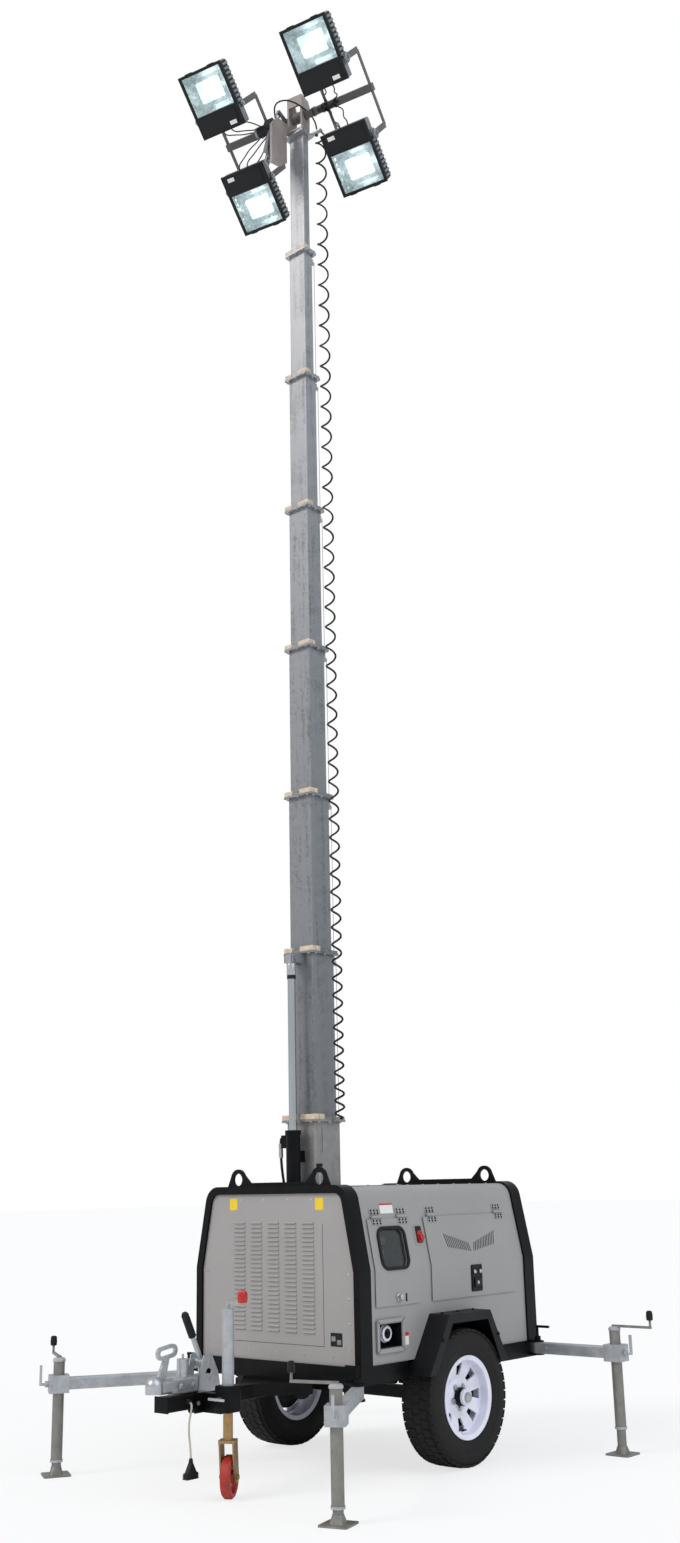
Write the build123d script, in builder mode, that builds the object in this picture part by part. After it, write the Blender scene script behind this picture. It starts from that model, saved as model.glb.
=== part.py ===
"""Towed mobile light tower: a canopied generator trailer with four outriggers and a
seven-section telescopic mast that carries four tilting floodlights.

Millimetres, +Z up. X runs across the trailer, -Y is the drawbar end, and the origin is on the
ground under the middle of the whole machine as it stands parked with the mast raised.
"""
from build123d import *
from math import atan2, cos, degrees, hypot, pi, radians, sin, tan
import os

os.makedirs("parts", exist_ok=True)

# Stations along the trailer
axle_y = 388.5
front_y = axle_y - 750
rear_y = axle_y + 837
mast_y = axle_y - 415
drawbar_tip_y = axle_y - 1552
jockey_y = axle_y - 1300

# Chassis
frame_low = 470.0
frame_top = 557.0
sill_width = 40.0
rail_x = 440.0
rail_width = 60.0
drawbar_width = 90.0
drawbar_low = 400.0
drawbar_top = frame_low
drawbar_wall = 6.0

# Canopy
arch_half = 600.0
arch_top = 1445.0
arch_width = 42.0
arch_depth = 92.0
waist_z = 1015.0
lean = radians(11.5)
shoulder_radius = 95.0
skin = 3.0
skin_inset = 12.0
seam_z = 1284.0
panel_recess = 14.0

# Doors, as distances along the trailer from the axle and heights
door_proud = 5.0
door_pan = 22.0
door_gap = 6.0
door_low = 833.0
door_high = 1266.0
hinge_radius = 8.0
hinge_z = door_high + hinge_radius + 2
control_door = (-615.0, -247.0)
engine_door = (-138.0, 645.0)
window_size = (212.0, 196.0)
window_at = (-441.0, 1117.0)
window_radius = 42.0

# Wheels
tyre_radius = 345.0
tyre_width = 205.0
track_half = 613.0
rim_radius = 190.5
rim_flange_radius = 208.0
axle_z = tyre_radius
well_half = 372.0
well_top = 772.0

# Mast
section_count = 7
section_width = 186.0
section_depth = 190.0
width_step = 10.0
depth_step = 22.5
section_wall = 2.5
section_length = 1250.0
mast_base_size = 216.0
slot_depth = 3.0
mast_base_wall = 6.0
mast_base_top = 1815.0
exposure = 949.0
flange_overhang = 22.0
flange_thick = 12.0
pad_thick = 16.0
pad_clearance = 0.4

# Head and floodlights
head_turn = radians(11.5)
lamp_pitch = radians(49.4)
bar_z = 8602.0
bar_length = 1180.0
bar_tube = 50.0
lamp_u = 405.0
lamp_v = 342.0
lamp_w = 270.0
lamp_width = 335.0
lamp_height = 415.0
lamp_depth = 130.0

# Outriggers
arm_tube = 60.0
arm_wall = 4.0
pin_radius = 12.0
pivot_front = (612.0, axle_y - 795)
pivot_rear = (640.0, axle_y + 780)
jack_front = (990.0, axle_y - 1390)
jack_rear = (1152.0, axle_y + 780)
arm_z_front = 450.0
arm_z_rear = 518.6
jack_radius = 30.0
jack_inner_radius = 25.0
run_gap = 0.4

# Stabilising jockey wheel
jockey_x = 207.0
jockey_radius = 30.0
jockey_inner_radius = 24.0
jockey_wheel_radius = 98.0
jockey_wheel_width = 48.0


def across(y):
    """Plane that faces forward at a station y: its x is X and its y is Z."""
    return Plane.XZ.offset(-y)


def along(x):
    """Plane that faces +X at x: its x is Y and its y is Z."""
    return Plane.YZ.offset(x)


def level(z):
    """Horizontal plane at height z."""
    return Plane.XY.offset(z)


def side_x(z, proud):
    """Half-width of the canopy skin at height z, moved outward by proud."""
    if z <= waist_z + proud * tan(lean / 2):
        return arch_half - skin_inset + proud
    return arch_half - skin_inset + proud / cos(lean) - (z - waist_z) * tan(lean)


def hoop(inset, low):
    """Cross-section of the canopy, narrowed all round by inset, cut off at the height low."""
    top_half = arch_half - (arch_top - waist_z) * tan(lean)
    with BuildSketch(mode=Mode.PRIVATE) as outline:
        with BuildLine():
            Polyline((-arch_half, low - inset), (-arch_half, waist_z), (-top_half, arch_top),
                     (top_half, arch_top), (arch_half, waist_z), (arch_half, low - inset), close=True)
        make_face()
        fillet(outline.vertices().group_by(Axis.Y)[-1], radius=shoulder_radius)
        if inset > 0:
            offset(amount=-inset, kind=Kind.INTERSECTION)
    return outline.sketch


def side_strip(inner, outer, low, high):
    """Strip of sheet that follows the canopy side between two distances from its skin."""
    with BuildSketch(mode=Mode.PRIVATE) as strip:
        with BuildLine():
            Polyline((side_x(low, inner), low), (side_x(low, outer), low),
                     (side_x(waist_z, outer), waist_z + outer * tan(lean / 2)),
                     (side_x(high, outer), high), (side_x(high, inner), high),
                     (side_x(waist_z, inner), waist_z + inner * tan(lean / 2)), close=True)
        make_face()
    return strip.sketch


def finish(builder, name):
    """Label a finished piece and write its file."""
    builder.part.label = name
    export_step(builder.part, "parts/" + name + ".step")


# Chassis: sills and rails, with cut-outs for the wheels and the corner brackets of the outriggers
frame_height = frame_top - frame_low
crossmembers = (axle_y - 560, axle_y - 270, axle_y + 40, axle_y + 440)
with BuildPart() as chassis:
    with BuildSketch(level(frame_low)):
        for side in (-1, 1):
            with Locations((side * rail_x, (front_y + rear_y) / 2)):
                Rectangle(rail_width, rear_y - front_y)
            for y0, y1 in ((front_y, axle_y - well_half), (axle_y + well_half, rear_y)):
                with Locations((side * (arch_half - sill_width / 2 - 2), (y0 + y1) / 2)):
                    Rectangle(sill_width, y1 - y0)
            for y in (axle_y - well_half - sill_width / 2, axle_y + well_half + sill_width / 2):
                with Locations((side * (rail_x + arch_half) / 2, y)):
                    Rectangle(arch_half - rail_x - 4, sill_width)
        for y in (front_y + rail_width / 2, rear_y - rail_width / 2):
            with Locations((0, y)):
                Rectangle(2 * arch_half - 4, rail_width)
        for y in crossmembers:
            with Locations((0, y)):
                Rectangle(2 * rail_x, rail_width)
    extrude(amount=frame_height)
    for side in (-1, 1):
        # Front bracket: two plates and a web round the arm's barrel
        px, py = pivot_front
        for z in (arm_z_front - arm_tube / 2 - run_gap - 10, arm_z_front + arm_tube / 2 + run_gap):
            with BuildSketch(level(z)):
                with Locations((side * px, py)):
                    Circle(36)
                Polygon((side * (px - 112), front_y + 20), (side * (px - 30), front_y + 20),
                        (side * (px + 36), py), (side * (px - 20), py - 30), (side * (px - 112), py + 20),
                        align=None)
            extrude(amount=10)
        with BuildSketch(level(arm_z_front - arm_tube / 2 - run_gap - 10)):
            with Locations((side * (px - 90), front_y)):
                Rectangle(44, 50)
        extrude(amount=arm_tube + 2 * run_gap + 20)
        # Rear bracket: plates beside the sill's end
        px, py = pivot_rear
        for z in (arm_z_rear - arm_tube / 2 - run_gap - 8, arm_z_rear + arm_tube / 2 + run_gap):
            with BuildSketch(level(z)):
                with Locations((side * px, py)):
                    Circle(34)
                with Locations((side * (px - 35), py)):
                    Rectangle(70, 68)
            extrude(amount=8)
        # Lock pins with bent handles, standing on the brackets
        for (px, py), z, hand in ((pivot_front, arm_z_front + arm_tube / 2 + run_gap + 10, -1),
                                  (pivot_rear, arm_z_rear + arm_tube / 2 + run_gap + 8, 1)):
            with Locations((side * px, py, z)):
                Cylinder(17, 24, align=(Align.CENTER, Align.CENTER, Align.MIN))
                Cylinder(7, 82, align=(Align.CENTER, Align.CENTER, Align.MIN))
            with Locations((side * (px + hand * 36), py, z + 76)):
                Box(86, 13, 13)
    for px, py, z in ((pivot_front[0], pivot_front[1], arm_z_front),
                      (pivot_rear[0], pivot_rear[1], arm_z_rear)):
        with Locations((px, py, z), (-px, py, z)):
            Cylinder(pin_radius, arm_tube + 10)
finish(chassis, "chassis")

# Floor pan under the engine and the mast foot
with BuildPart() as floor_pan:
    with BuildSketch(level(frame_top)):
        with Locations((0, (front_y + rear_y) / 2)):
            Rectangle(2 * (rail_x + rail_width / 2), rear_y - front_y - 2 * arch_depth)
    extrude(amount=skin)
finish(floor_pan, "floor_pan")

# Drawbar: box beam with its end plate, the jockey clamp plate and a chain eye
drawbar_back = axle_y - 180
clamp_y = jockey_y
with BuildPart() as drawbar:
    with BuildSketch(across(drawbar_tip_y)):
        with Locations((0, (drawbar_low + drawbar_top) / 2)):
            RectangleRounded(drawbar_width, drawbar_top - drawbar_low, 8)
            Rectangle(drawbar_width - 2 * drawbar_wall, drawbar_top - drawbar_low - 2 * drawbar_wall,
                      mode=Mode.SUBTRACT)
    extrude(amount=-(front_y + 40 - drawbar_tip_y))
    with BuildSketch(across(front_y + 40)):
        with Locations((0, (drawbar_low + frame_low) / 2)):
            Rectangle(drawbar_width, frame_low - drawbar_low)
    extrude(amount=-(drawbar_back - front_y - 40))
    with Locations((0, drawbar_tip_y + 4, (drawbar_low + drawbar_top) / 2)):
        Box(drawbar_width + 4, 8, drawbar_top - drawbar_low + 4)
    # Gussets from the drawbar to the front beam
    for side in (-1, 1):
        with BuildSketch(level(drawbar_low + 10)):
            Polygon((side * drawbar_width / 2, front_y - 210), (side * 250, front_y + 20),
                    (side * drawbar_width / 2, front_y + 60), align=None)
        extrude(amount=frame_low - drawbar_low - 10)
    # Clamp plates that carry the jockey tube
    with Locations((drawbar_width / 2 + 5, clamp_y, 425)):
        Box(10, 150, 90)
    with Locations(((drawbar_width / 2 + jockey_x - jockey_radius) / 2, clamp_y, 425)):
        Box(jockey_x - jockey_radius - drawbar_width / 2, 40, 90)
    with BuildSketch(level(392)):
        with Locations((jockey_x, clamp_y)):
            RectangleRounded(96, 96, 14)
            Circle(jockey_radius, mode=Mode.SUBTRACT)
    extrude(amount=120)
    # Chain eye under the beam
    with BuildSketch(across(axle_y - 1350)):
        with Locations((0, drawbar_low - 6)):
            SlotOverall(38, 34, rotation=90)
            SlotOverall(22, 18, rotation=90, mode=Mode.SUBTRACT)
    extrude(amount=8, both=True)
finish(drawbar, "drawbar")

# Ball coupling: channel body, cast head with its socket, latch loop and damper cap
coupling_head_y = axle_y - 1596
coupling_back_y = axle_y - 1250
socket_z = 520.0
ball_radius = 25.0
with BuildPart() as coupling:
    with BuildSketch(across(coupling_back_y)):
        with Locations((0, drawbar_top + 40)):
            RectangleRounded(84, 80, 12)
    with BuildSketch(across(coupling_head_y + 90)):
        with Locations((0, drawbar_top + 45)):
            RectangleRounded(66, 74, 12)
    loft()
    with BuildSketch(across(coupling_back_y)):
        with Locations((0, drawbar_top + 36)):
            Rectangle(60, 48)
    extrude(amount=160, mode=Mode.SUBTRACT)
    with BuildSketch(across(coupling_head_y + 92)):
        with Locations((0, drawbar_top + 46)):
            RectangleRounded(62, 68, 20)
    extrude(amount=72)
    head_axis = Axis((0, coupling_head_y, 0), (0, 0, 1))
    for radius, rise, low, way in ((44, 6, socket_z - 30, Mode.ADD),
                                   (ball_radius, 0, socket_z - 60, Mode.SUBTRACT)):
        with BuildSketch(across(coupling_head_y)):
            with BuildLine():
                Line((0, low), (radius, low))
                Line((radius, low), (radius, socket_z + rise))
                CenterArc((0, socket_z + rise), radius, 0, 90)
                Line((0, socket_z + rise + radius), (0, low))
            make_face()
        revolve(axis=head_axis, mode=way)
    # Latch lever: a neck that rises to a flat loop
    with BuildSketch(along(-9)):
        Polygon((coupling_head_y + 16, 552), (coupling_head_y + 66, 552), (coupling_head_y + 92, 650),
                (coupling_head_y + 62, 650), align=None)
    extrude(amount=18)
    with BuildSketch(along(-9)):
        with Locations((coupling_head_y + 78, 672)):
            SlotOverall(132, 62, rotation=8)
            SlotOverall(98, 28, rotation=8, mode=Mode.SUBTRACT)
    extrude(amount=18)
    with Locations((0, axle_y - 1410, 588)):
        Cylinder(30, 88)
    with Locations((0, axle_y - 1410, 642)):
        Cylinder(6, 24)
finish(coupling, "coupling")

# Handbrake: folded bracket and lever with its grip
with BuildPart() as handbrake:
    for x in (-50, 42.3):
        with BuildSketch(along(x)):
            with BuildLine():
                Polyline((axle_y - 1345, 471), (axle_y - 1195, 471), (axle_y - 1215, 560),
                         (axle_y - 1262, 648), (axle_y - 1312, 640), (axle_y - 1335, 560), close=True)
            make_face()
            with Locations((axle_y - 1278, 560)):
                Circle(20, mode=Mode.SUBTRACT)
        extrude(amount=7.7)
    lever = Plane(origin=(0, axle_y - 1285, 610), x_dir=(1, 0, 0), z_dir=(0, -0.45, 0.893))
    with BuildSketch(lever):
        Rectangle(24, 14)
    extrude(amount=140)
    with BuildSketch(lever.offset(132)):
        Circle(18)
    extrude(amount=118)
    with BuildSketch(lever.offset(249)):
        Circle(18)
    with BuildSketch(lever.offset(262)):
        Circle(9)
    loft()
    with Locations(Location((0, axle_y - 1285, 610), (0, 90, 0))):
        Cylinder(12, 100)
finish(handbrake, "handbrake")

# Axle: square beam, spindles and hubs
hub_radius = 46.0
with BuildPart() as axle:
    with Locations((0, axle_y, axle_z)):
        Box(2 * (track_half - 130), 60, 60)
    with Locations(Location((0, axle_y, axle_z), (0, 90, 0))):
        Cylinder(24, 2 * (track_half + 22))
    for side in (-1, 1):
        with Locations((side * rail_x, axle_y, axle_z + 38)):
            Box(80, 130, 16)
        with Locations(Location((side * (track_half - 115), axle_y, axle_z), (0, 90, 0))):
            Cylinder(95, 24)
finish(axle, "axle")

# Leaf springs: three leaves each, with eyes, hangers and U-bolt plates
spring_half = 320.0
spring_z = axle_z + 46
spring_rise = 42.0
with BuildPart() as leaf_springs:
    for side in (-1, 1):
        for row, reach in enumerate((spring_half, 230, 150)):
            with BuildSketch(along(side * rail_x - 25)):
                with BuildLine():
                    rise = spring_rise * (reach / spring_half) ** 2
                    low = spring_z + (2 - row) * 9
                    ThreePointArc((axle_y - reach, low + rise), (axle_y, low), (axle_y + reach, low + rise))
                    Line((axle_y + reach, low + rise), (axle_y + reach, low + rise + 9))
                    ThreePointArc((axle_y + reach, low + rise + 9), (axle_y, low + 9),
                                  (axle_y - reach, low + rise + 9))
                    Line((axle_y - reach, low + rise + 9), (axle_y - reach, low + rise))
                make_face()
            extrude(amount=50)
        for end in (-1, 1):
            eye_y = axle_y + end * spring_half
            with BuildSketch(along(side * rail_x - 30)):
                with Locations((eye_y, spring_z + 18 + spring_rise)):
                    Circle(17)
            extrude(amount=60)
            with BuildSketch(along(side * rail_x - 30)):
                Polygon((eye_y - 26, frame_low), (eye_y + 26, frame_low),
                        (eye_y + 12, spring_z + spring_rise), (eye_y - 12, spring_z + spring_rise),
                        align=None)
            extrude(amount=60)
        with Locations((side * rail_x, axle_y, spring_z + 27 + 7)):
            Box(76, 120, 14)
finish(leaf_springs, "leaf_springs")

# Fenders: folded sheet boxes over the wheels, open to the ground, with an outer lip
fender_in = 498.0
fender_out = 724.0
fender_sheet = 4.0
fender_line = ((-352, 482), (-164, 770), (206, 770), (352, 500))
lip = 46.0
with BuildPart() as fenders:
    for side in (-1, 1):
        start = fender_in if side > 0 else -fender_out
        with BuildSketch(along(start)):
            with BuildLine():
                Polyline([(axle_y + y, z) for y, z in fender_line], close=True)
            make_face()
            with BuildLine():
                Polyline([(axle_y - 352 + 4, 470), (axle_y - 161, 770 - fender_sheet),
                          (axle_y + 203, 770 - fender_sheet), (axle_y + 352 - 4, 470)], close=True)
            make_face(mode=Mode.SUBTRACT)
        extrude(amount=fender_out - fender_in)
        face = fender_out - fender_sheet if side > 0 else -fender_out
        with BuildSketch(along(face)):
            with BuildLine():
                Polyline([(axle_y + y, z) for y, z in fender_line], close=True)
            make_face()
            with BuildLine():
                Polyline([(axle_y - 352 + lip, 460), (axle_y - 164 + 0.55 * lip, 770 - lip),
                          (axle_y + 206 - 0.55 * lip, 770 - lip), (axle_y + 352 - lip, 460)], close=True)
            make_face(mode=Mode.SUBTRACT)
        extrude(amount=fender_sheet)
        inner = fender_in if side > 0 else -fender_in - fender_sheet
        with BuildSketch(along(inner)):
            Polygon((axle_y - 298, frame_top + 4), (axle_y - 164, 770), (axle_y + 206, 770),
                    (axle_y + 315, frame_top + 4), align=None)
        extrude(amount=fender_sheet)
finish(fenders, "fenders")

# Canopy arches at both ends
arch_outer = hoop(0, frame_top)
arch_inner = hoop(arch_width, frame_top - 60)
for name, y in (("front_arch", front_y), ("rear_arch", rear_y - arch_depth)):
    with BuildPart() as arch:
        with BuildSketch(across(y)):
            add(arch_outer)
            add(arch_inner, mode=Mode.SUBTRACT)
        extrude(amount=-arch_depth)
        fillet(arch.edges().filter_by(GeomType.LINE).filter_by(Axis.Y).sort_by(Axis.Z)[:2], radius=4)
    finish(arch, name)

# Lifting plates: a web along each arch top with an eye at either end
eye_x = 303.0
eye_z = 1482.0
eye_radius = 34.0
eye_rim = 56.0
plate_thick = 14.0
with BuildPart() as lifting_plates:
    for y in (front_y + 30, rear_y - 30 - plate_thick):
        with BuildSketch(across(y)):
            Polygon((-eye_x - 78, arch_top), (eye_x + 78, arch_top), (eye_x + 44, eye_z + 36),
                    (eye_x - 44, eye_z + 30), (eye_x - 96, 1464), (-eye_x + 96, 1464),
                    (-eye_x + 44, eye_z + 30), (-eye_x - 44, eye_z + 36), align=None)
            with Locations((eye_x, eye_z), (-eye_x, eye_z)):
                Circle(eye_rim)
            with Locations((eye_x, eye_z), (-eye_x, eye_z)):
                Circle(eye_radius, mode=Mode.SUBTRACT)
            with Locations((0, arch_top - 50)):
                Rectangle(900, 100, mode=Mode.SUBTRACT)
        extrude(amount=-plate_thick)
finish(lifting_plates, "lifting_plates")

# Front panel with five columns of pressed louvres
louvre_columns = 5
louvre_rows = 25
louvre_pitch_x = 127.0
louvre_pitch_z = 22.7
louvre_width = 84.0
louvre_low = 702.0
louvre_centre_x = -18.0
panel_fit = 0.3
panel_face = front_y + panel_recess
end_panel = hoop(arch_width + panel_fit, frame_top)
louvre_high = louvre_low + (louvre_rows - 1) * louvre_pitch_z
with BuildPart() as front_panel:
    with BuildSketch(across(panel_face)):
        add(end_panel)
        with Locations((louvre_centre_x, (louvre_low + louvre_high) / 2 + 5)):
            with GridLocations(louvre_pitch_x, louvre_pitch_z, louvre_columns, louvre_rows):
                Rectangle(louvre_width - 6, 8, mode=Mode.SUBTRACT)
    extrude(amount=-skin)
    for column in range(louvre_columns):
        x = louvre_centre_x + (column - (louvre_columns - 1) / 2) * louvre_pitch_x - louvre_width / 2
        with BuildSketch(along(x)):
            for row in range(louvre_rows):
                z = louvre_low + row * louvre_pitch_z
                Polygon((panel_face + 1, z + 14), (panel_face - 7, z + 4), (panel_face - 7, z + 2),
                        (panel_face + 1, z + 11), align=None)
        extrude(amount=louvre_width)
finish(front_panel, "front_panel")

# Rear panel with an exhaust louvre field and a pair of lamp recesses
rear_face = rear_y - panel_recess
with BuildPart() as rear_panel:
    with BuildSketch(across(rear_face - skin)):
        add(end_panel)
    extrude(amount=-skin)
    with BuildSketch(across(rear_face - 10)):
        with Locations((0, 1010)):
            with GridLocations(200, 28, 3, 14):
                SlotOverall(150, 12)
    extrude(amount=-20, mode=Mode.SUBTRACT)
finish(rear_panel, "rear_panel")

# Tail lamps on the rear beam
with BuildPart() as tail_lamps:
    for side in (-1, 1):
        with Locations((side * 430, rear_y + 13, 520)):
            Box(200, 26, 62)
finish(tail_lamps, "tail_lamps")

# Roof and sides share one skin between the arches
skin_outer = hoop(skin_inset, frame_top)
skin_inner = hoop(skin_inset + skin, frame_top - 60)
skin_front = front_y + arch_depth
skin_rear = rear_y - arch_depth
mast_hole = mast_base_size + 6
cylinder_x = 5.0
cylinder_y = mast_y - 178
barrel_radius = 40.0
with BuildPart() as roof:
    with BuildSketch(across(skin_front)):
        add(skin_outer)
        add(skin_inner, mode=Mode.SUBTRACT)
        with Locations((0, seam_z)):
            Rectangle(4 * arch_half, 4 * arch_half, align=(Align.CENTER, Align.MAX), mode=Mode.SUBTRACT)
    extrude(amount=-(skin_rear - skin_front))
    with Locations((0, mast_y, arch_top)):
        Box(mast_hole, mast_hole, 200, mode=Mode.SUBTRACT)
    with Locations((cylinder_x, cylinder_y, arch_top)):
        Cylinder(barrel_radius + 4, 200, mode=Mode.SUBTRACT)
    # Hatch plate behind the mast
    with BuildSketch(level(arch_top - skin_inset)):
        with Locations((60, mast_y + 300)):
            RectangleRounded(420, 300, 10)
    extrude(amount=5)
finish(roof, "roof")

socket_recess = (-596.0, -417.0, 632.0, 750.0)
for name, side, openings in (("side_left", 1, (control_door, engine_door)),
                             ("side_right", -1, (engine_door,))):
    with BuildPart() as wall:
        with BuildSketch(across(skin_front)):
            add(skin_outer)
            add(skin_inner, mode=Mode.SUBTRACT)
            with Locations((0, seam_z)):
                Rectangle(4 * arch_half, arch_half, align=(Align.CENTER, Align.MIN), mode=Mode.SUBTRACT)
            with Locations((-side * arch_half, waist_z)):
                Rectangle(2 * arch_half, 3 * arch_half, mode=Mode.SUBTRACT)
        extrude(amount=-(skin_rear - skin_front))
        for y0, y1 in openings:
            with Locations((side * arch_half, axle_y + (y0 + y1) / 2, (door_low + door_high) / 2 - 4)):
                Box(300, y1 - y0 - 30, door_high - door_low - 48, mode=Mode.SUBTRACT)
        with BuildSketch(along(side * arch_half)):
            Polygon(*[(axle_y + y, z + 0.3) for y, z in ((-380, 440), (-164.6, 770), (206.6, 770), (386, 440))],
                    align=None)
        extrude(amount=160, both=True, mode=Mode.SUBTRACT)
        if side > 0:
            y0, y1, z0, z1 = socket_recess
            with Locations((arch_half, axle_y + (y0 + y1) / 2, (z0 + z1) / 2)):
                Box(160, y1 - y0, z1 - z0, mode=Mode.SUBTRACT)
        # Fixed hinge leaves and knuckles above each door
        for y0, y1 in openings:
            for y in (axle_y + y0 + 75, axle_y + y1 - 75):
                for half in (-1, 1):
                    pin_at = (side * (side_x(door_high, door_proud + 3)), y + half * 20, hinge_z)
                    with Locations(Location(pin_at, (90, 0, 0))):
                        Cylinder(hinge_radius, 14)
                    with Locations((side * (side_x(hinge_z, 3) + 1), y + half * 20, hinge_z + 0.7)):
                        Box(12, 14, 13)
    finish(wall, name)

# Doors: an outer sheet that laps the opening, a pan inside it and the moving knuckles
window_z = window_at[1]
window_plane = Plane(origin=(side_x(window_z, 0), axle_y + window_at[0], window_z), x_dir=(0, 1, 0),
                     z_dir=(cos(lean), 0, sin(lean)))
vent_rows = 13
vent_pitch = 17.0
vent_centre = (255.0, 1118.0)
for name, side, (y0, y1) in (("control_door", 1, control_door), ("engine_door_left", 1, engine_door),
                             ("engine_door_right", -1, engine_door)):
    with BuildPart() as door:
        with BuildSketch(across(axle_y + y0)):
            add(side_strip(door_proud, door_proud + skin, door_low, door_high))
        extrude(amount=-(y1 - y0))
        with BuildSketch(across(axle_y + y0 + 15 + door_gap)):
            add(side_strip(-door_pan, door_proud, door_low + 20 + door_gap, door_high - 60))
        extrude(amount=-(y1 - y0 - 30 - 2 * door_gap))
        if name == "control_door":
            with BuildSketch(window_plane):
                RectangleRounded(window_size[0], window_size[1], window_radius)
            extrude(amount=60, both=True, mode=Mode.SUBTRACT)
        else:
            vent_plane = Plane(origin=(side_x(vent_centre[1], 0), axle_y + vent_centre[0], vent_centre[1]),
                               x_dir=(0, 1, 0), z_dir=(cos(lean), 0, sin(lean)))
            with BuildSketch(vent_plane):
                for wing in (-1, 1):
                    for row in range(vent_rows):
                        u = wing * (22 + row * vent_pitch)
                        v = -26 + row * 3.6
                        height = 52 + row * 2.2
                        with Locations((u, v)):
                            SlotOverall(height, 7.5, rotation=90 - wing * 16)
            extrude(amount=60, both=True, mode=Mode.SUBTRACT)
        for y in (axle_y + y0 + 75, axle_y + y1 - 75):
            pin_x = side_x(door_high, door_proud + 3)
            with Locations(Location((pin_x, y, hinge_z), (90, 0, 0))):
                Cylinder(hinge_radius, 26 - 2 * pad_clearance)
            with Locations((pin_x - 1.5, y, door_high)):
                Box(5, 26 - 2 * pad_clearance, 14)
        if side < 0:
            mirror(about=Plane.YZ, mode=Mode.REPLACE)
    finish(door, name)

# Window glass in its frame
with BuildPart() as window_glass:
    with BuildSketch(window_plane.offset(-6)):
        RectangleRounded(window_size[0] - 0.6, window_size[1] - 0.6, window_radius)
    extrude(amount=5)
finish(window_glass, "window_glass")

# Socket box let into the lower side, with its inlet
with BuildPart() as power_inlet:
    y0, y1, z0, z1 = socket_recess
    wall_x = arch_half - skin_inset
    with Locations((wall_x - 44, axle_y + (y0 + y1) / 2, (z0 + z1) / 2)):
        Box(96, y1 - y0 - 1, z1 - z0 - 1)
        Box(90, y1 - y0 - 7, z1 - z0 - 7, mode=Mode.SUBTRACT)
    with Locations((wall_x - 92 + 2, axle_y + (y0 + y1) / 2, (z0 + z1) / 2)):
        Box(4, y1 - y0 - 1, z1 - z0 - 1)
    with Locations((wall_x + 7, axle_y + (y0 + y1) / 2, (z0 + z1) / 2)):
        Box(8, y1 - y0 + 44, z1 - z0 + 44)
        Box(8, y1 - y0 - 7, z1 - z0 - 7, mode=Mode.SUBTRACT)
    with Locations(Location((wall_x - 90, axle_y - 501, 698), (0, 90, 0))):
        Cylinder(36, 62, align=(Align.CENTER, Align.CENTER, Align.MIN))
    with Locations(Location((wall_x - 36, axle_y - 501, 698), (0, 90, 0))):
        Cylinder(26, 10, align=(Align.CENTER, Align.CENTER, Align.MIN), mode=Mode.SUBTRACT)
finish(power_inlet, "power_inlet")

# Control panel behind the window
with BuildPart() as control_panel:
    with Locations((400, axle_y + window_at[0], 1010)):
        Box(60, 330, 440)
    with Locations((400, axle_y + window_at[0], (frame_top + skin + 790) / 2)):
        Box(40, 200, 790 - frame_top - skin)
    for row, z in enumerate((1150, 1080)):
        with Locations((434, axle_y + window_at[0], z)):
            Box(8, 240 - 60 * row, 50)
finish(control_panel, "control_panel")

# Engine and generator as one plain mass
with BuildPart() as engine_block:
    with Locations((0, axle_y + 205, frame_top + skin + 260)):
        Box(560, 880, 520)
finish(engine_block, "engine_block")

# Curly cord: the line that it hangs on, beside the mast
cord_outer = 30.0
cord_x = 156.0
cord_y = mast_y + 40


# Mast foot: square housing from the floor to its flange
def collar_flange(width, depth):
    """Steel flange round the top of a mast section."""
    with BuildSketch(mode=Mode.PRIVATE) as flange:
        RectangleRounded(width + 2 * flange_overhang, depth + 2 * flange_overhang, 6)
        Rectangle(width - 2 * section_wall, depth - 2 * section_wall, mode=Mode.SUBTRACT)
    return flange.sketch


def collar_pads(width, depth, inner_width, inner_depth):
    """Guide pads on the flange, which the next section slides in."""
    with BuildSketch(mode=Mode.PRIVATE) as pads:
        Rectangle(width + 2 * flange_overhang - 10, depth + 2 * flange_overhang - 10)
        Rectangle(inner_width + 2 * pad_clearance, inner_depth + 2 * pad_clearance, mode=Mode.SUBTRACT)
    return pads.sketch


with BuildPart() as mast_base:
    with BuildSketch(level(frame_top + skin)):
        RectangleRounded(mast_base_size, mast_base_size, 12)
        Rectangle(mast_base_size - 2 * mast_base_wall, mast_base_size - 2 * mast_base_wall,
                  mode=Mode.SUBTRACT)
    extrude(amount=mast_base_top - pad_thick - flange_thick - frame_top - skin)
    with BuildSketch(along(mast_base_size / 2)):
        with Locations((-mast_base_size / 2 + 46, mast_base_top - 125)):
            SlotOverall(140, 30, rotation=90)
    extrude(amount=slot_depth, both=True, mode=Mode.SUBTRACT)
with BuildPart() as base_collar:
    with BuildSketch(level(mast_base_top - pad_thick - flange_thick)):
        add(collar_flange(mast_base_size, mast_base_size))
        with Locations((cord_x - 20, cord_y - mast_y)):
            Rectangle(72, 48)
    extrude(amount=flange_thick)
    with BuildSketch(level(mast_base_top - pad_thick)):
        add(collar_pads(mast_base_size, mast_base_size, section_width, section_depth))
    extrude(amount=pad_thick)
mast_base.part = Compound(mast_base.part.solids() + base_collar.part.solids())
mast_base.part.position = (0, mast_y, 0)
finish(mast_base, "mast_base")

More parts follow.
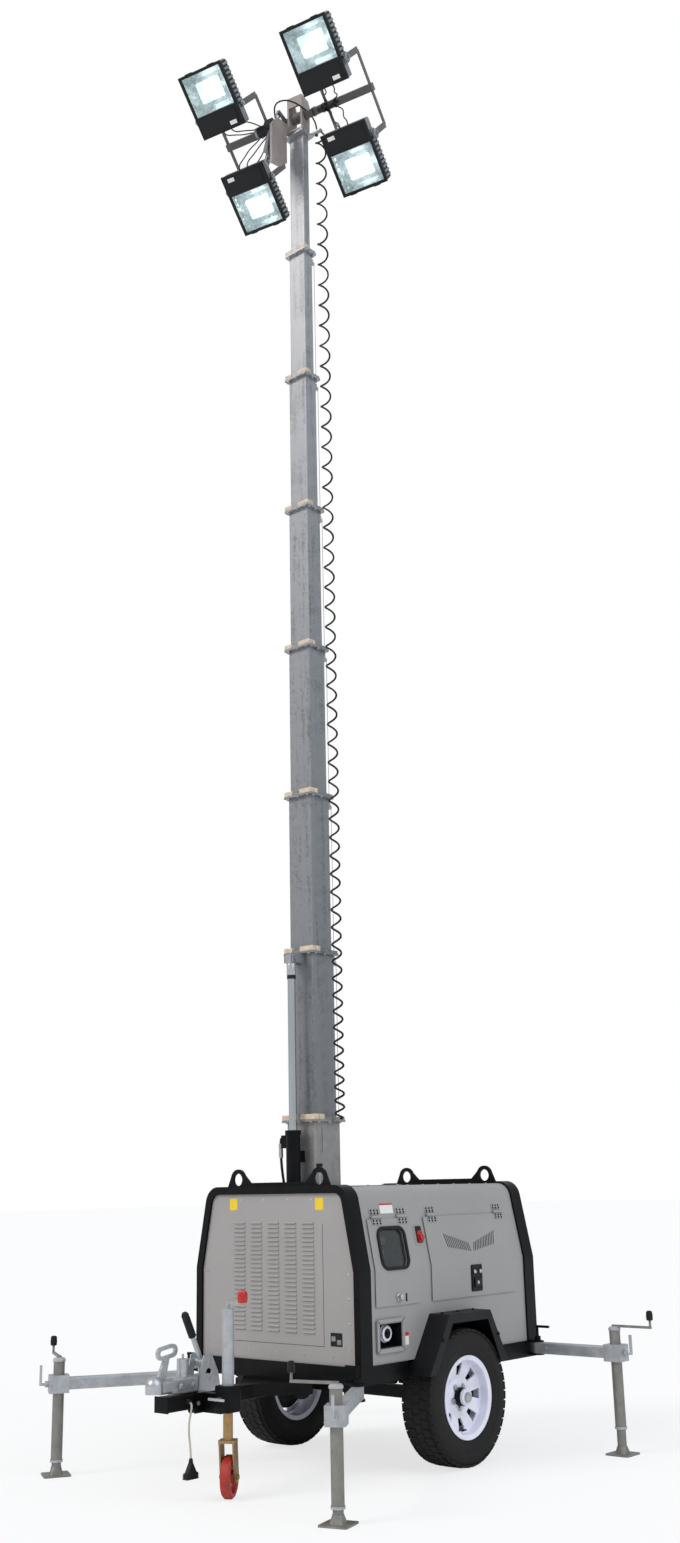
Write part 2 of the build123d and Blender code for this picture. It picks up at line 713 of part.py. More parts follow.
# Lift cylinder ahead of the mast
barrel_top = 1741.0
rod_radius = 22.5
rod_top = mast_base_top + exposure - 70
ear_pin = 11.0
with BuildPart() as cylinder_barrel:
    with BuildSketch(level(frame_top + skin)):
        Circle(barrel_radius)
        Circle(rod_radius + run_gap, mode=Mode.SUBTRACT)
    extrude(amount=barrel_top - frame_top - skin)
    with BuildSketch(level(frame_top + skin)):
        Circle(barrel_radius - 1)
    extrude(amount=30)
    with BuildSketch(level(barrel_top - 26)):
        Circle(barrel_radius + 5)
        Circle(rod_radius + run_gap, mode=Mode.SUBTRACT)
    extrude(amount=26)
    with Locations((0, mast_y - mast_base_size / 2 - cylinder_y, 1600)):
        Box(44, 36, 60, align=(Align.CENTER, Align.MAX, Align.CENTER))
    with Locations((-barrel_radius - 16, 0, barrel_top - 60)):
        Box(36, 40, 70)
cylinder_barrel.part.position = (cylinder_x, cylinder_y, 0)
finish(cylinder_barrel, "cylinder_barrel")
with BuildPart() as cylinder_rod:
    with BuildSketch(level(rod_top - 1060)):
        Circle(rod_radius)
    extrude(amount=1060)
    with Locations((0, 0, rod_top + 4)):
        Box(44, 52, 52)
    with Locations(Location((0, 0, rod_top + 6), (0, 90, 0))):
        Cylinder(ear_pin + run_gap, 60, mode=Mode.SUBTRACT)
cylinder_rod.part.position = (cylinder_x, cylinder_y, 0)
finish(cylinder_rod, "cylinder_rod")

# Telescoping sections, widest first: each is a tube with a collar for the next one
for index in range(section_count):
    width = section_width - index * width_step
    depth = section_depth - index * depth_step
    top = mast_base_top + (index + 1) * exposure
    with BuildPart() as section:
        with BuildSketch(level(top - section_length)):
            RectangleRounded(width, depth, 5)
            RectangleRounded(width - 2 * section_wall, depth - 2 * section_wall, 3, mode=Mode.SUBTRACT)
        extrude(amount=section_length - pad_thick - flange_thick)
        if index == section_count - 1:
            with BuildSketch(level(top - pad_thick - flange_thick)):
                RectangleRounded(width + 40, depth + 64, 8)
                with Locations((cord_x / 2 + 8, cord_y - mast_y)):
                    Rectangle(cord_x + 16, 30)
            extrude(amount=flange_thick)
            with BuildSketch(level(top - pad_thick - flange_thick)):
                RectangleRounded(width, depth, 5)
            extrude(amount=pad_thick + flange_thick)
    if index == 0:
        # Ears and pin that the lift rod pushes
        with BuildPart() as ears:
            for half in (-1, 1):
                with Locations((cylinder_x + half * 29, -depth / 2 + 1, rod_top + 10)):
                    Box(12, mast_y - cylinder_y - depth / 2 + 24, 52, align=(Align.CENTER, Align.MAX, Align.CENTER))
            with Locations(Location((cylinder_x, cylinder_y - mast_y, rod_top + 6), (0, 90, 0))):
                Cylinder(ear_pin, 84)
        section.part = section.part + ears.part
    if index < section_count - 1:
        # Collar welded on top, with the rope tab under its rear edge
        with BuildPart() as collar:
            low = top - pad_thick - flange_thick
            with BuildSketch(level(low)):
                add(collar_flange(width, depth))
            extrude(amount=flange_thick)
            with BuildSketch(level(top - pad_thick)):
                add(collar_pads(width, depth, width - width_step, depth - depth_step))
            extrude(amount=pad_thick)
            with BuildSketch(along(width / 2 - 34)):
                Polygon((depth / 2, low), (depth / 2 + 40, low), (depth / 2 + 40, low - 44),
                        (depth / 2 + 24, low - 60), (depth / 2, low - 60), align=None)
            extrude(amount=8)
        section.part = Compound(section.part.solids() + collar.part.solids())
    section.part.position = (0, mast_y, 0)
    finish(section, "mast_section_" + str(index + 1))

# Head: bracket on the last section, turned with it
head_x = (cos(head_turn), sin(head_turn), 0)
mast_top = mast_base_top + section_count * exposure
head_frame = Plane(origin=(0, mast_y, mast_top), x_dir=head_x, z_dir=(0, 0, 1))
head_side = Plane(origin=(0, mast_y, mast_top), x_dir=(-sin(head_turn), cos(head_turn), 0),
                  z_dir=head_x)
bar_rise = bar_z - mast_top
lug_at = (-236.0, -330.0)
bar_hub = 37.0
hood_reach = 56.0
hood_sheet = 6.0
hood_top = bar_rise + 140
crank_radius = 90.0
lug_pin = 8.0
actuator_x = -112.0
crank_step = 10.0
pivot_gap = 0.3
crank_angle = radians(168.0)
eye_at = (crank_radius * cos(crank_angle), bar_rise + crank_radius * sin(crank_angle))
with BuildPart() as head_bracket:
    # Cheek plates either side of the bar's pivot
    for u in (-58, 46):
        with BuildSketch(head_side.offset(u)):
            with BuildLine():
                Polyline((-48, 0), (48, 0), (hood_reach, bar_rise - 10), (hood_reach, hood_top - 30),
                         (hood_reach - 20, hood_top), (-hood_reach, hood_top),
                         (-hood_reach, bar_rise - 10), close=True)
            make_face()
            with Locations((0, bar_rise)):
                Circle(bar_hub + run_gap, mode=Mode.SUBTRACT)
        extrude(amount=12)
    # Hood that joins the cheeks above the bar
    with BuildSketch(head_side.offset(-58)):
        Polygon((-hood_reach, bar_rise + 56), (hood_sheet - hood_reach, bar_rise + 56),
                (hood_sheet - hood_reach, hood_top - hood_sheet), (hood_reach - 20, hood_top - hood_sheet),
                (hood_reach - 20, hood_top), (-hood_reach, hood_top), align=None)
    extrude(amount=116)
    with BuildSketch(head_frame):
        RectangleRounded(136, 112, 6)
    extrude(amount=14)
    # Side plate that reaches forward and down to the actuator's lug
    with BuildSketch(head_side.offset(-74)):
        with BuildLine():
            Polyline((-68, 1), (-68, -250), (-150, -330), (-262, -372), (-262, -60),
                     (-190, 40), (-60, 76), (40, 76), (40, 1), close=True)
        make_face()
    extrude(amount=17)
    with BuildSketch(head_side.offset(actuator_x - 12)):
        with Locations(lug_at):
            Circle(lug_pin)
    extrude(amount=-actuator_x - 60)
finish(head_bracket, "head_bracket")

# Tilt actuator: hinged barrel with its motor, and the rod that pushes the bar's crank
span_u = eye_at[0] - lug_at[0]
span_v = eye_at[1] - lug_at[1]
span = hypot(span_u, span_v)
actuator_dir = (-sin(head_turn) * span_u / span, cos(head_turn) * span_u / span, span_v / span)
lug_point = (actuator_x * head_x[0] - lug_at[0] * sin(head_turn),
             mast_y + actuator_x * head_x[1] + lug_at[0] * cos(head_turn), mast_top + lug_at[1])
actuator_frame = Plane(origin=lug_point, x_dir=head_x, z_dir=actuator_dir)
barrel_length = 330.0
rod_start = 86.0
with BuildPart() as tilt_barrel:
    with BuildSketch(actuator_frame.offset(18)):
        Circle(21)
        Circle(11 + run_gap, mode=Mode.SUBTRACT)
    extrude(amount=barrel_length)
    with BuildSketch(actuator_frame.offset(60)):
        with Locations((0, -40)):
            Circle(17)
    extrude(amount=barrel_length - 70)
    with BuildSketch(actuator_frame.offset(barrel_length - 60)):
        with Locations((0, -26)):
            RectangleRounded(64, 116, 10)
        Circle(11 + run_gap, mode=Mode.SUBTRACT)
    extrude(amount=78)
    with BuildSketch(actuator_frame.offset(-20)):
        Rectangle(14, 40)
    extrude(amount=40)
    with BuildSketch(head_side.offset(actuator_x - 20)):
        with Locations(lug_at):
            Circle(lug_pin + run_gap)
    extrude(amount=40, mode=Mode.SUBTRACT)
finish(tilt_barrel, "tilt_barrel")
with BuildPart() as tilt_rod:
    with BuildSketch(actuator_frame.offset(rod_start)):
        Circle(11)
    extrude(amount=span - 20 - rod_start)
    with BuildSketch(actuator_frame.offset(span - 24)):
        Rectangle(14, 34)
    extrude(amount=42)
    # Pin that stands on the crank's face
    with BuildSketch(head_side.offset(actuator_x - 14)):
        with Locations(eye_at):
            Circle(lug_pin)
    extrude(amount=14 + crank_step - pivot_gap)
finish(tilt_rod, "tilt_rod")

# Light bar: u runs along it, v is up the lamp plane and w is the way the lamps face
up_v = (sin(head_turn) * sin(lamp_pitch), -cos(head_turn) * sin(lamp_pitch), cos(lamp_pitch))
face_w = (sin(head_turn) * cos(lamp_pitch), -cos(head_turn) * cos(lamp_pitch), -sin(lamp_pitch))
bar_centre = (0, mast_y, bar_z)
bar_frame = Plane(origin=bar_centre, x_dir=head_x, z_dir=face_w)
yoke_u = (lamp_u - lamp_width / 2 - 6.3, lamp_u + lamp_width / 2 + 0.3)
yoke_flat = 40.0
with BuildPart() as light_bar:
    with BuildSketch(Plane(origin=bar_centre, x_dir=up_v, z_dir=head_x).offset(-bar_length / 2)):
        RectangleRounded(bar_tube, bar_tube, 4)
    extrude(amount=bar_length)
    bar_side = Plane(origin=bar_centre, x_dir=up_v, z_dir=head_x)
    for half in (-1, 1):
        for u in yoke_u:
            place = half * u if half > 0 else -u - 6
            with BuildSketch(bar_side.offset(place)):
                with Locations((0, bar_tube / 2 - 2)):
                    Rectangle(2 * 250, yoke_flat, align=(Align.CENTER, Align.MAX))
                for end in (-1, 1):
                    with Locations((end * 250, lamp_w / 2 + 10)):
                        Rectangle(yoke_flat, lamp_w + 30)
            extrude(amount=6)
    with BuildSketch(bar_side.offset(-60)):
        Circle(bar_hub)
    extrude(amount=120)
    # Crank for the tilt rod
    with BuildSketch(head_side.offset(actuator_x + crank_step)):
        with BuildLine():
            Polyline((20, bar_rise + 20), (-20, bar_rise - 26), (eye_at[0] - 4, eye_at[1] - 18),
                     (eye_at[0] - 18, eye_at[1] - 6), (eye_at[0] - 14, eye_at[1] + 16), close=True)
        make_face()
    extrude(amount=10)
finish(light_bar, "light_bar")

# Floodlight housings: finned boxes with a gear tray toward the bar, and their glasses
rim = 14.0
glass_height = 258.0
fin_count = 11
lamp_wall = 6.0
with BuildPart() as lamp_housings:
    for half_u in (-1, 1):
        for half_v in (-1, 1):
            centre = (half_u * lamp_u, half_v * lamp_v)
            glass_at = (centre[0], centre[1] + half_v * (lamp_height / 2 - rim - glass_height / 2))
            with BuildSketch(bar_frame.offset(lamp_w - lamp_depth / 2 + 40)):
                with Locations(centre):
                    RectangleRounded(lamp_width, lamp_height, 12)
            extrude(amount=lamp_depth - 40)
            with BuildSketch(bar_frame.offset(lamp_w - lamp_depth / 2)):
                with Locations(centre):
                    RectangleRounded(lamp_width - 40, lamp_height - 60, 20)
            with BuildSketch(bar_frame.offset(lamp_w - lamp_depth / 2 + 40)):
                with Locations(centre):
                    RectangleRounded(lamp_width - 10, lamp_height - 16, 14)
            loft()
            with BuildSketch(bar_frame.offset(lamp_w + lamp_depth / 2)):
                with Locations(glass_at):
                    RectangleRounded(lamp_width - 2 * rim, glass_height, 6)
            extrude(amount=-lamp_depth / 2, mode=Mode.SUBTRACT)
            with BuildSketch(bar_frame.offset(lamp_w + lamp_depth / 2 - lamp_wall)):
                with Locations(centre):
                    RectangleRounded(lamp_width - 2 * lamp_wall, lamp_height - 2 * lamp_wall, 6)
            extrude(amount=-(lamp_depth - 40 - 2 * lamp_wall), mode=Mode.SUBTRACT)
            with BuildSketch(bar_frame.offset(lamp_w - lamp_depth / 2 - 14)):
                with Locations((centre[0], centre[1] + half_v * 40)):
                    with GridLocations((lamp_width - 60) / (fin_count - 1), 0, fin_count, 1):
                        Rectangle(5, lamp_height - 160)
            extrude(amount=30)
            with BuildSketch(bar_frame.offset(lamp_w - lamp_depth / 2 - 26)):
                with Locations((centre[0], centre[1] - half_v * 130)):
                    RectangleRounded(120, 84, 12)
            extrude(amount=40)
finish(lamp_housings, "lamp_housings")
with BuildPart() as lamp_glasses:
    for half_u in (-1, 1):
        for half_v in (-1, 1):
            glass_at = (half_u * lamp_u,
                        half_v * (lamp_v + lamp_height / 2 - rim - glass_height / 2))
            with BuildSketch(bar_frame.offset(lamp_w + lamp_depth / 2 - 9)):
                with Locations(glass_at):
                    RectangleRounded(lamp_width - 2 * rim - 0.6, glass_height - 0.6, 6)
            extrude(amount=5)
finish(lamp_glasses, "lamp_glasses")

# Outrigger arms with their jack sleeves, and the jacks that slide in them
sleeve = 104.0
sleeve_high = 88.0
foot_size = 142.0
for end, pivot, jack, arm_z in (("front", pivot_front, jack_front, arm_z_front),
                                ("rear", pivot_rear, jack_rear, arm_z_rear)):
    for hand, side in (("left", 1), ("right", -1)):
        dx = side * (jack[0] - pivot[0])
        dy = jack[1] - pivot[1]
        length = hypot(dx, dy)
        reach = (dx / length, dy / length, 0)
        run = Plane(origin=(side * pivot[0], pivot[1], arm_z), x_dir=(-reach[1], reach[0], 0), z_dir=reach)
        with BuildPart() as arm:
            with BuildSketch(run):
                RectangleRounded(arm_tube, arm_tube, 6)
                RectangleRounded(arm_tube - 2 * arm_wall, arm_tube - 2 * arm_wall, 4, mode=Mode.SUBTRACT)
            extrude(amount=length - sleeve / 2 + 6)
            with Locations((side * pivot[0], pivot[1], arm_z)):
                Cylinder(30, arm_tube)
                Cylinder(pin_radius + run_gap, arm_tube, mode=Mode.SUBTRACT)
            with BuildSketch(run.offset(length - sleeve / 2)):
                Rectangle(sleeve - 8, sleeve_high)
            extrude(amount=sleeve)
            with Locations((side * jack[0], jack[1], arm_z)):
                Cylinder(jack_radius + run_gap, 2 * sleeve_high, mode=Mode.SUBTRACT)
            # Clamp boss and bent handle on the sleeve's outer face
            clamp = run.offset(length + sleeve / 2)
            with BuildSketch(clamp):
                Circle(16)
            extrude(amount=20)
            with BuildSketch(clamp.offset(6)):
                with Locations((0, 0)):
                    Circle(7)
            extrude(amount=44)
            with Locations(clamp.offset(44).location):
                Box(13, 96, 13, align=(Align.CENTER, Align.MIN, Align.CENTER))
        finish(arm, "arm_" + end + "_" + hand)

        tube_low = 66 if end == "front" else 130
        tube_high = 560 if end == "front" else 634
        with BuildPart() as leg:
            with BuildSketch(level(tube_low)):
                Circle(jack_radius)
            extrude(amount=tube_high - tube_low)
            with BuildSketch(level(8)):
                Circle(jack_inner_radius)
            extrude(amount=tube_low - 8)
            with BuildSketch(level(8)):
                RectangleRounded(66, 66, 10)
            with BuildSketch(level(44)):
                Circle(jack_inner_radius + 2)
            loft()
            with BuildSketch(level(0)):
                RectangleRounded(foot_size, foot_size, 12)
            extrude(amount=8)
            with BuildSketch(level(tube_high)):
                Circle(jack_radius + 3)
            extrude(amount=12)
            with BuildSketch(level(tube_high + 12)):
                Circle(12)
            extrude(amount=18)
            crank_z = tube_high + 24
            with Locations((110, 0, crank_z)):
                Box(244, 13, 13)
            with Locations((226, 0, crank_z + 22)):
                Cylinder(6.5, 56)
            with Locations((226, 0, crank_z + 60)):
                Cylinder(15, 44)
        turn = degrees(atan2(reach[1], reach[0]))
        if end == "front":
            turn = 150 if side < 0 else 196
        leg.part.locate(Location((side * jack[0], jack[1], 0), (0, 0, turn)))
        finish(leg, "jack_" + end + "_" + hand)

# Jockey wheel: tube on the drawbar clamp, sliding stem, swivelling fork and wheel
jockey_tube_low = 398.0
jockey_tube_high = 858.0
with BuildPart() as jockey_tube:
    with BuildSketch(level(jockey_tube_low)):
        Circle(jockey_radius)
        Circle(jockey_inner_radius + run_gap, mode=Mode.SUBTRACT)
    extrude(amount=jockey_tube_high - jockey_tube_low)
    with BuildSketch(level(jockey_tube_high)):
        Circle(jockey_radius)
    extrude(amount=8)
    with Locations((0, 0, jockey_tube_high + 22)):
        Cylinder(8, 32)
    with Locations((50, 0, jockey_tube_high + 34)):
        Box(114, 13, 11)
    with Locations((100, 0, jockey_tube_high + 64)):
        Cylinder(19, 60)
jockey_tube.part.position = (jockey_x, jockey_y, 0)
finish(jockey_tube, "jockey_tube")
fork_top = 268.0
stem_length = 380.0
with BuildPart() as jockey_stem:
    with BuildSketch(level(fork_top)):
        Circle(jockey_inner_radius)
    extrude(amount=stem_length)
jockey_stem.part.position = (jockey_x, jockey_y, 0)
finish(jockey_stem, "jockey_stem")
wheel_trail = 26.0
fork_swivel = 30.0
with BuildPart() as jockey_fork:
    with BuildSketch(level(fork_top - pad_clearance - 14)):
        RectangleRounded(84, 78, 12)
    extrude(amount=14)
    for side in (-1, 1):
        with BuildSketch(along(side * 34 - 4)):
            with BuildLine():
                Polyline((-39, fork_top - pad_clearance), (39, fork_top - pad_clearance),
                         (wheel_trail + 34, 120), (wheel_trail + 20, 74), (wheel_trail - 20, 74),
                         (wheel_trail - 40, 120), close=True)
            make_face()
        extrude(amount=8)
    with Locations(Location((0, wheel_trail, jockey_wheel_radius), (0, 90, 0))):
        Cylinder(9, 92)
swivelled = Location((jockey_x, jockey_y, 0), (0, 0, fork_swivel))
jockey_fork.part.locate(swivelled)
finish(jockey_fork, "jockey_fork")
with BuildPart() as jockey_wheel:
    with BuildSketch(Plane.XZ):
        with BuildLine():
            half = jockey_wheel_width / 2
            Polyline((9 + run_gap, -half - 3), (30, -half - 3), (34, -10), (70, -10), (74, -half),
                     (jockey_wheel_radius - 8, -half), (jockey_wheel_radius, -half + 9),
                     (jockey_wheel_radius, half - 9), (jockey_wheel_radius - 8, half), (74, half),
                     (70, 10), (34, 10), (30, half + 3), (9 + run_gap, half + 3), close=True)
        make_face()
    revolve(axis=Axis.Z)
jockey_wheel.part.locate(swivelled * Location((0, wheel_trail, jockey_wheel_radius), (0, 90, 0)))
finish(jockey_wheel, "jockey_wheel")

# Road wheels: tyre and spoked steel rim on the hub
for hand, side in (("left", 1), ("right", -1)):
    with BuildPart() as tyre:
        with BuildSketch(Plane.XZ):
            with BuildLine():
                half = tyre_width / 2
                Polyline((rim_radius + 1, -80), (rim_flange_radius + 6, -86), (rim_flange_radius + 50, -half),
                         (tyre_radius - 34, -half + 2), (tyre_radius - 8, -half + 22),
                         (tyre_radius, -half + 46), (tyre_radius, half - 46),
                         (tyre_radius - 8, half - 22), (tyre_radius - 34, half - 2),
                         (rim_flange_radius + 50, half), (rim_flange_radius + 6, 86), (rim_radius + 1, 80),
                         close=True)
            make_face()
        revolve(axis=Axis.Z)
    tyre.part.locate(Location((side * track_half, axle_y, axle_z), (0, side * 90, 0)))
    finish(tyre, "tyre_" + hand)
    with BuildPart() as rim:
        with BuildSketch(Plane.XZ):
            with BuildLine():
                Polyline((rim_radius - 6, -86), (rim_flange_radius, -92), (rim_flange_radius, -88),
                         (rim_radius, -80), (rim_radius, 80), (rim_flange_radius, 88),
                         (rim_flange_radius, 92), (rim_radius - 6, 86), (rim_radius - 8, 76),
                         (rim_radius - 8, -76), close=True)
            make_face()
            with BuildLine():
                Polyline((24 + run_gap, 20), (60, 20), (92, 8), (150, 26), (rim_radius - 7, 30),
                         (rim_radius - 7, 38), (148, 36), (90, 18), (62, 30), (24 + run_gap, 30), close=True)
            make_face()
        revolve(axis=Axis.Z)
        with BuildSketch(Plane.XY):
            with PolarLocations(138, 8):
                Trapezoid(56, 62, 76, rotation=90)
        extrude(amount=100, mode=Mode.SUBTRACT)
        with BuildSketch(Plane.XY.offset(20)):
            Circle(42)
        extrude(amount=62)
        with BuildSketch(Plane.XY.offset(20)):
            Circle(24 + run_gap)
        extrude(amount=40, mode=Mode.SUBTRACT)
    rim.part.locate(Location((side * track_half, axle_y, axle_z), (0, side * 90, 0)))
    finish(rim, "rim_" + hand)

# Curly cord as the fat tube that its turns fill
cord_low = mast_base_top - pad_thick
cord_top = mast_top - pad_thick - flange_thick
with BuildPart() as curly_cord:
    with BuildSketch(level(cord_low)):
        with Locations((cord_x, cord_y)):
            Circle(cord_outer)
    extrude(amount=cord_top - cord_low)
finish(curly_cord, "curly_cord")

# Lead for the trailer lights: hangs from the drawbar's side and ends in a flat plug
lead_radius = 5.0
lead_x = drawbar_width / 2
lead_route = [(lead_x, axle_y - 1420, 440), (lead_x + 34, axle_y - 1420, 440), (lead_x + 50, axle_y - 1440, 400),
              (lead_x + 50, axle_y - 1454, 352), (lead_x + 48, axle_y - 1452, 300),
              (lead_x + 49, axle_y - 1445, 250), (lead_x + 52, axle_y - 1442, 210), (lead_x + 52, axle_y - 1442, 172)]
lead_bends = []
for before, at, after in zip(lead_route, lead_route[1:], lead_route[2:]):
    run_in = Vector(*at) - Vector(*before)
    run_out = Vector(*after) - Vector(*at)
    half_turn = radians(run_in.get_angle(run_out)) / 2
    lead_bends.append(0.45 * min(run_in.length, run_out.length) / tan(half_turn))
print("lead bends:", [round(bend) for bend in lead_bends])
with BuildPart() as light_lead:
    with BuildLine() as lead_path:
        FilletPolyline(*lead_route, radius=lead_bends)
    with BuildSketch(Plane(origin=lead_path.line @ 0, z_dir=lead_path.line % 0)):
        Circle(lead_radius)
    sweep()
print("lead tube: volume", round(light_lead.part.volume), "section x length",
      round(pi * lead_radius ** 2 * lead_path.wires()[0].length), "length", round(lead_path.wires()[0].length))
finish(light_lead, "light_lead")
plug_top = lead_route[-1]
with BuildPart() as lead_plug:
    with BuildSketch(level(plug_top[2])):
        with Locations(plug_top[:2]):
            RectangleRounded(24, 18, 6)
    with BuildSketch(level(plug_top[2] - 44)):
        with Locations(plug_top[:2]):
            RectangleRounded(30, 62, 6)
    loft()
    with BuildSketch(level(plug_top[2] - 70)):
        with Locations(plug_top[:2]):
            RectangleRounded(34, 74, 6)
    extrude(amount=28)
finish(lead_plug, "lead_plug")
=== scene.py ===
"""Dressing of a towed light tower: finishes for its CAD pieces, cords, lamps, labels and fittings.

Blender's units are metres. Places are given in millimetres of the CAD frame through mm().
"""

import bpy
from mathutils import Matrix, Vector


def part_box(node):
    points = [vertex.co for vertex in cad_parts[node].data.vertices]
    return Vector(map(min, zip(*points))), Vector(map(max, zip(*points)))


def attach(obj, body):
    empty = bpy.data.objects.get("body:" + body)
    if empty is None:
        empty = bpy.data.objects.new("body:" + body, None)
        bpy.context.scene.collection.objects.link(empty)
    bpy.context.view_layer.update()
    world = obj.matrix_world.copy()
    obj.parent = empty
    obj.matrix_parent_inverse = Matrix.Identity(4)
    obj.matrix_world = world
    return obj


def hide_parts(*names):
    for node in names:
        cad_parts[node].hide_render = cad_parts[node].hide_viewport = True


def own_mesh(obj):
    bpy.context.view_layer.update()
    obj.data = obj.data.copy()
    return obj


bl_info = {
    "name": "Light Tower Dressing",
    "version": (1, 0, 0),
    "blender": (4, 5, 0),
    "location": "3D View > Sidebar > Light Tower",
    "description": "Finishes, cords, floodlights, labels and fittings of a towed light tower",
    "category": "Object",
}

from math import atan2, cos, pi, radians, sin, sqrt, tan

import bpy
from bpy.props import FloatProperty, FloatVectorProperty, IntProperty, PointerProperty
from mathutils import Matrix, Vector

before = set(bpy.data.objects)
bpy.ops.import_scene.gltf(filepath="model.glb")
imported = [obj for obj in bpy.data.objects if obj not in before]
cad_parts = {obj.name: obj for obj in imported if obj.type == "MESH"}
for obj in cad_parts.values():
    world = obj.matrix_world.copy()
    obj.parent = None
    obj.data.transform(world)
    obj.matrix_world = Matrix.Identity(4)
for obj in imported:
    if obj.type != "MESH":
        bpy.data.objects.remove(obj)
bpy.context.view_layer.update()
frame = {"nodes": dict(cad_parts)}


def mm(*values):
    """Millimetres to a vector in metres."""
    return Vector([value / 1000 for value in values])


# Stations of the machine in millimetres, read from the frame
AXLE_Y = 1000 * sum(corner.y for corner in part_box("axle")) / 2
FRONT_Y = 1000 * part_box("front_arch")[0].y
REAR_Y = 1000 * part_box("rear_arch")[1].y
MAST_Y = AXLE_Y - 415
BASE_TOP = 1000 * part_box("mast_base")[1].z
EXPOSURE = 1000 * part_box("mast_section_1")[1].z - BASE_TOP
SECTIONS = 7
MAST_TOP = BASE_TOP + SECTIONS * EXPOSURE
LEAN = radians(11.5)
WAIST_Z = 1015.0
SKIN_X = 588.0
DOOR_FACE = 8.0
HEAD_TURN = radians(11.5)
LAMP_PITCH = radians(49.4)
BAR_Z = 8602.0
COLLAR = 22.0
PANEL_RECESS = 14.0
ROOF_TOP = 1433.0
LIFT_Y = MAST_Y - 178
JOCKEY_X, JOCKEY_Y = 207.0, AXLE_Y - 1300
BRAKE_Y = AXLE_Y - 1285
STOP_Y = -195.0
SOCKET_Y, SOCKET_Z = AXLE_Y - 501, 698.0
TYRE_RADIUS = 345.0
WHEEL_X = 613.0
WIRE = 0.0042


def linear(code):
    """sRGB hex to the linear colour that shaders take."""
    parts = [int(code[i:i + 2], 16) / 255 for i in (1, 3, 5)]
    return tuple(c / 12.92 if c <= 0.04045 else ((c + 0.055) / 1.055) ** 2.4 for c in parts)


# Settings that a user would change


class TowerSizes(bpy.types.PropertyGroup):
    """Sizes of the dressing."""

    cord_diameter: FloatProperty(name="Curly cord", description="Diameter of the mast's curly cord",
                                 default=0.0125, unit="LENGTH")
    coil_low: FloatProperty(name="Coil at the foot", description="Outer diameter of the cord's turns below",
                            default=0.064, unit="LENGTH")
    coil_high: FloatProperty(name="Coil at the top", description="Outer diameter of the cord's turns above",
                             default=0.082, unit="LENGTH")
    turn_points: IntProperty(name="Points a turn", description="Points in one turn of the curly cord",
                             default=12)
    lead_diameter: FloatProperty(name="Light lead", description="Diameter of the trailer light lead",
                                 default=0.010, unit="LENGTH")
    bolt: FloatProperty(name="Collar bolt", description="Width across the flats of the collars' bolts",
                        default=0.012, unit="LENGTH")


class TowerColours(bpy.types.PropertyGroup):
    """Colours of the finishes."""

    panel: FloatVectorProperty(name="Panels", description="Powder coat of the canopy",
                               subtype="COLOR", default=linear("#9A9795"))
    frame: FloatVectorProperty(name="Frame", description="Black enamel of arches and chassis",
                               subtype="COLOR", default=linear("#0C0C0D"))
    zinc: FloatVectorProperty(name="Zinc", description="Hot-dip galvanised steel",
                              subtype="COLOR", default=linear("#ABADB0"))
    nylon: FloatVectorProperty(name="Mast pads", description="Cast nylon guide pads",
                               subtype="COLOR", default=linear("#CDBBA3"))
    passivate: FloatVectorProperty(name="Passivate", description="Yellow passivated zinc",
                                   subtype="COLOR", default=linear("#A88A52"))
    wheel_red: FloatVectorProperty(name="Jockey wheel", description="Red polyurethane tread",
                                   subtype="COLOR", default=linear("#A32A1E"))


# Selecting, placing and shaping


def only(*pieces):
    """Leave just these pieces selected, in object mode."""
    if bpy.context.object and bpy.context.object.mode != "OBJECT":
        bpy.ops.object.mode_set(mode="OBJECT")
    bpy.ops.object.select_all(action="DESELECT")
    for piece in pieces:
        piece.select_set(True)
        bpy.context.view_layer.objects.active = piece


def edit_all():
    """Go into edit mode with everything selected."""
    bpy.ops.object.mode_set(mode="EDIT")
    bpy.ops.mesh.select_mode(type="VERT")
    bpy.ops.mesh.select_all(action="SELECT")


def close_edit():
    """Turn every face outward and go back to object mode."""
    bpy.ops.mesh.select_all(action="SELECT")
    bpy.ops.mesh.normals_make_consistent(inside=False)
    bpy.ops.object.mode_set(mode="OBJECT")


def settle(piece):
    """Move a piece's place into its mesh."""
    only(piece)
    bpy.ops.object.transform_apply(location=True, rotation=True, scale=True)
    return piece


def ease(piece, width, steps=2, angle=35):
    """Round the edges of a piece by a bevel that is applied."""
    only(piece)
    bpy.ops.object.modifier_add(type="BEVEL")
    bevel = piece.modifiers[-1]
    bevel.width = width
    bevel.segments = steps
    bevel.limit_method = "ANGLE"
    bevel.angle_limit = radians(angle)
    bpy.ops.object.modifier_apply(modifier=bevel.name)
    return piece


def smooth(piece, angle=35):
    """Shade a piece smooth up to an edge angle."""
    only(piece)
    bpy.ops.object.shade_smooth_by_angle(angle=radians(angle))
    return piece


def block(low, high, soft=0.001, steps=2):
    """Box between two corners with eased edges."""
    low, high = Vector(low), Vector(high)
    only()
    bpy.ops.mesh.primitive_cube_add(size=1, location=(low + high) / 2)
    piece = bpy.context.object
    piece.scale = high - low
    settle(piece)
    return smooth(ease(piece, soft, steps)) if soft else piece


def rod(start, end, radius, sides=20, soft=0.0):
    """Round bar from one point to another."""
    start, end = Vector(start), Vector(end)
    run = end - start
    only()
    bpy.ops.mesh.primitive_cylinder_add(vertices=sides, radius=radius, depth=run.length,
                                        location=(start + end) / 2,
                                        rotation=run.to_track_quat("Z", "Y").to_euler())
    piece = settle(bpy.context.object)
    return smooth(ease(piece, soft) if soft else piece)


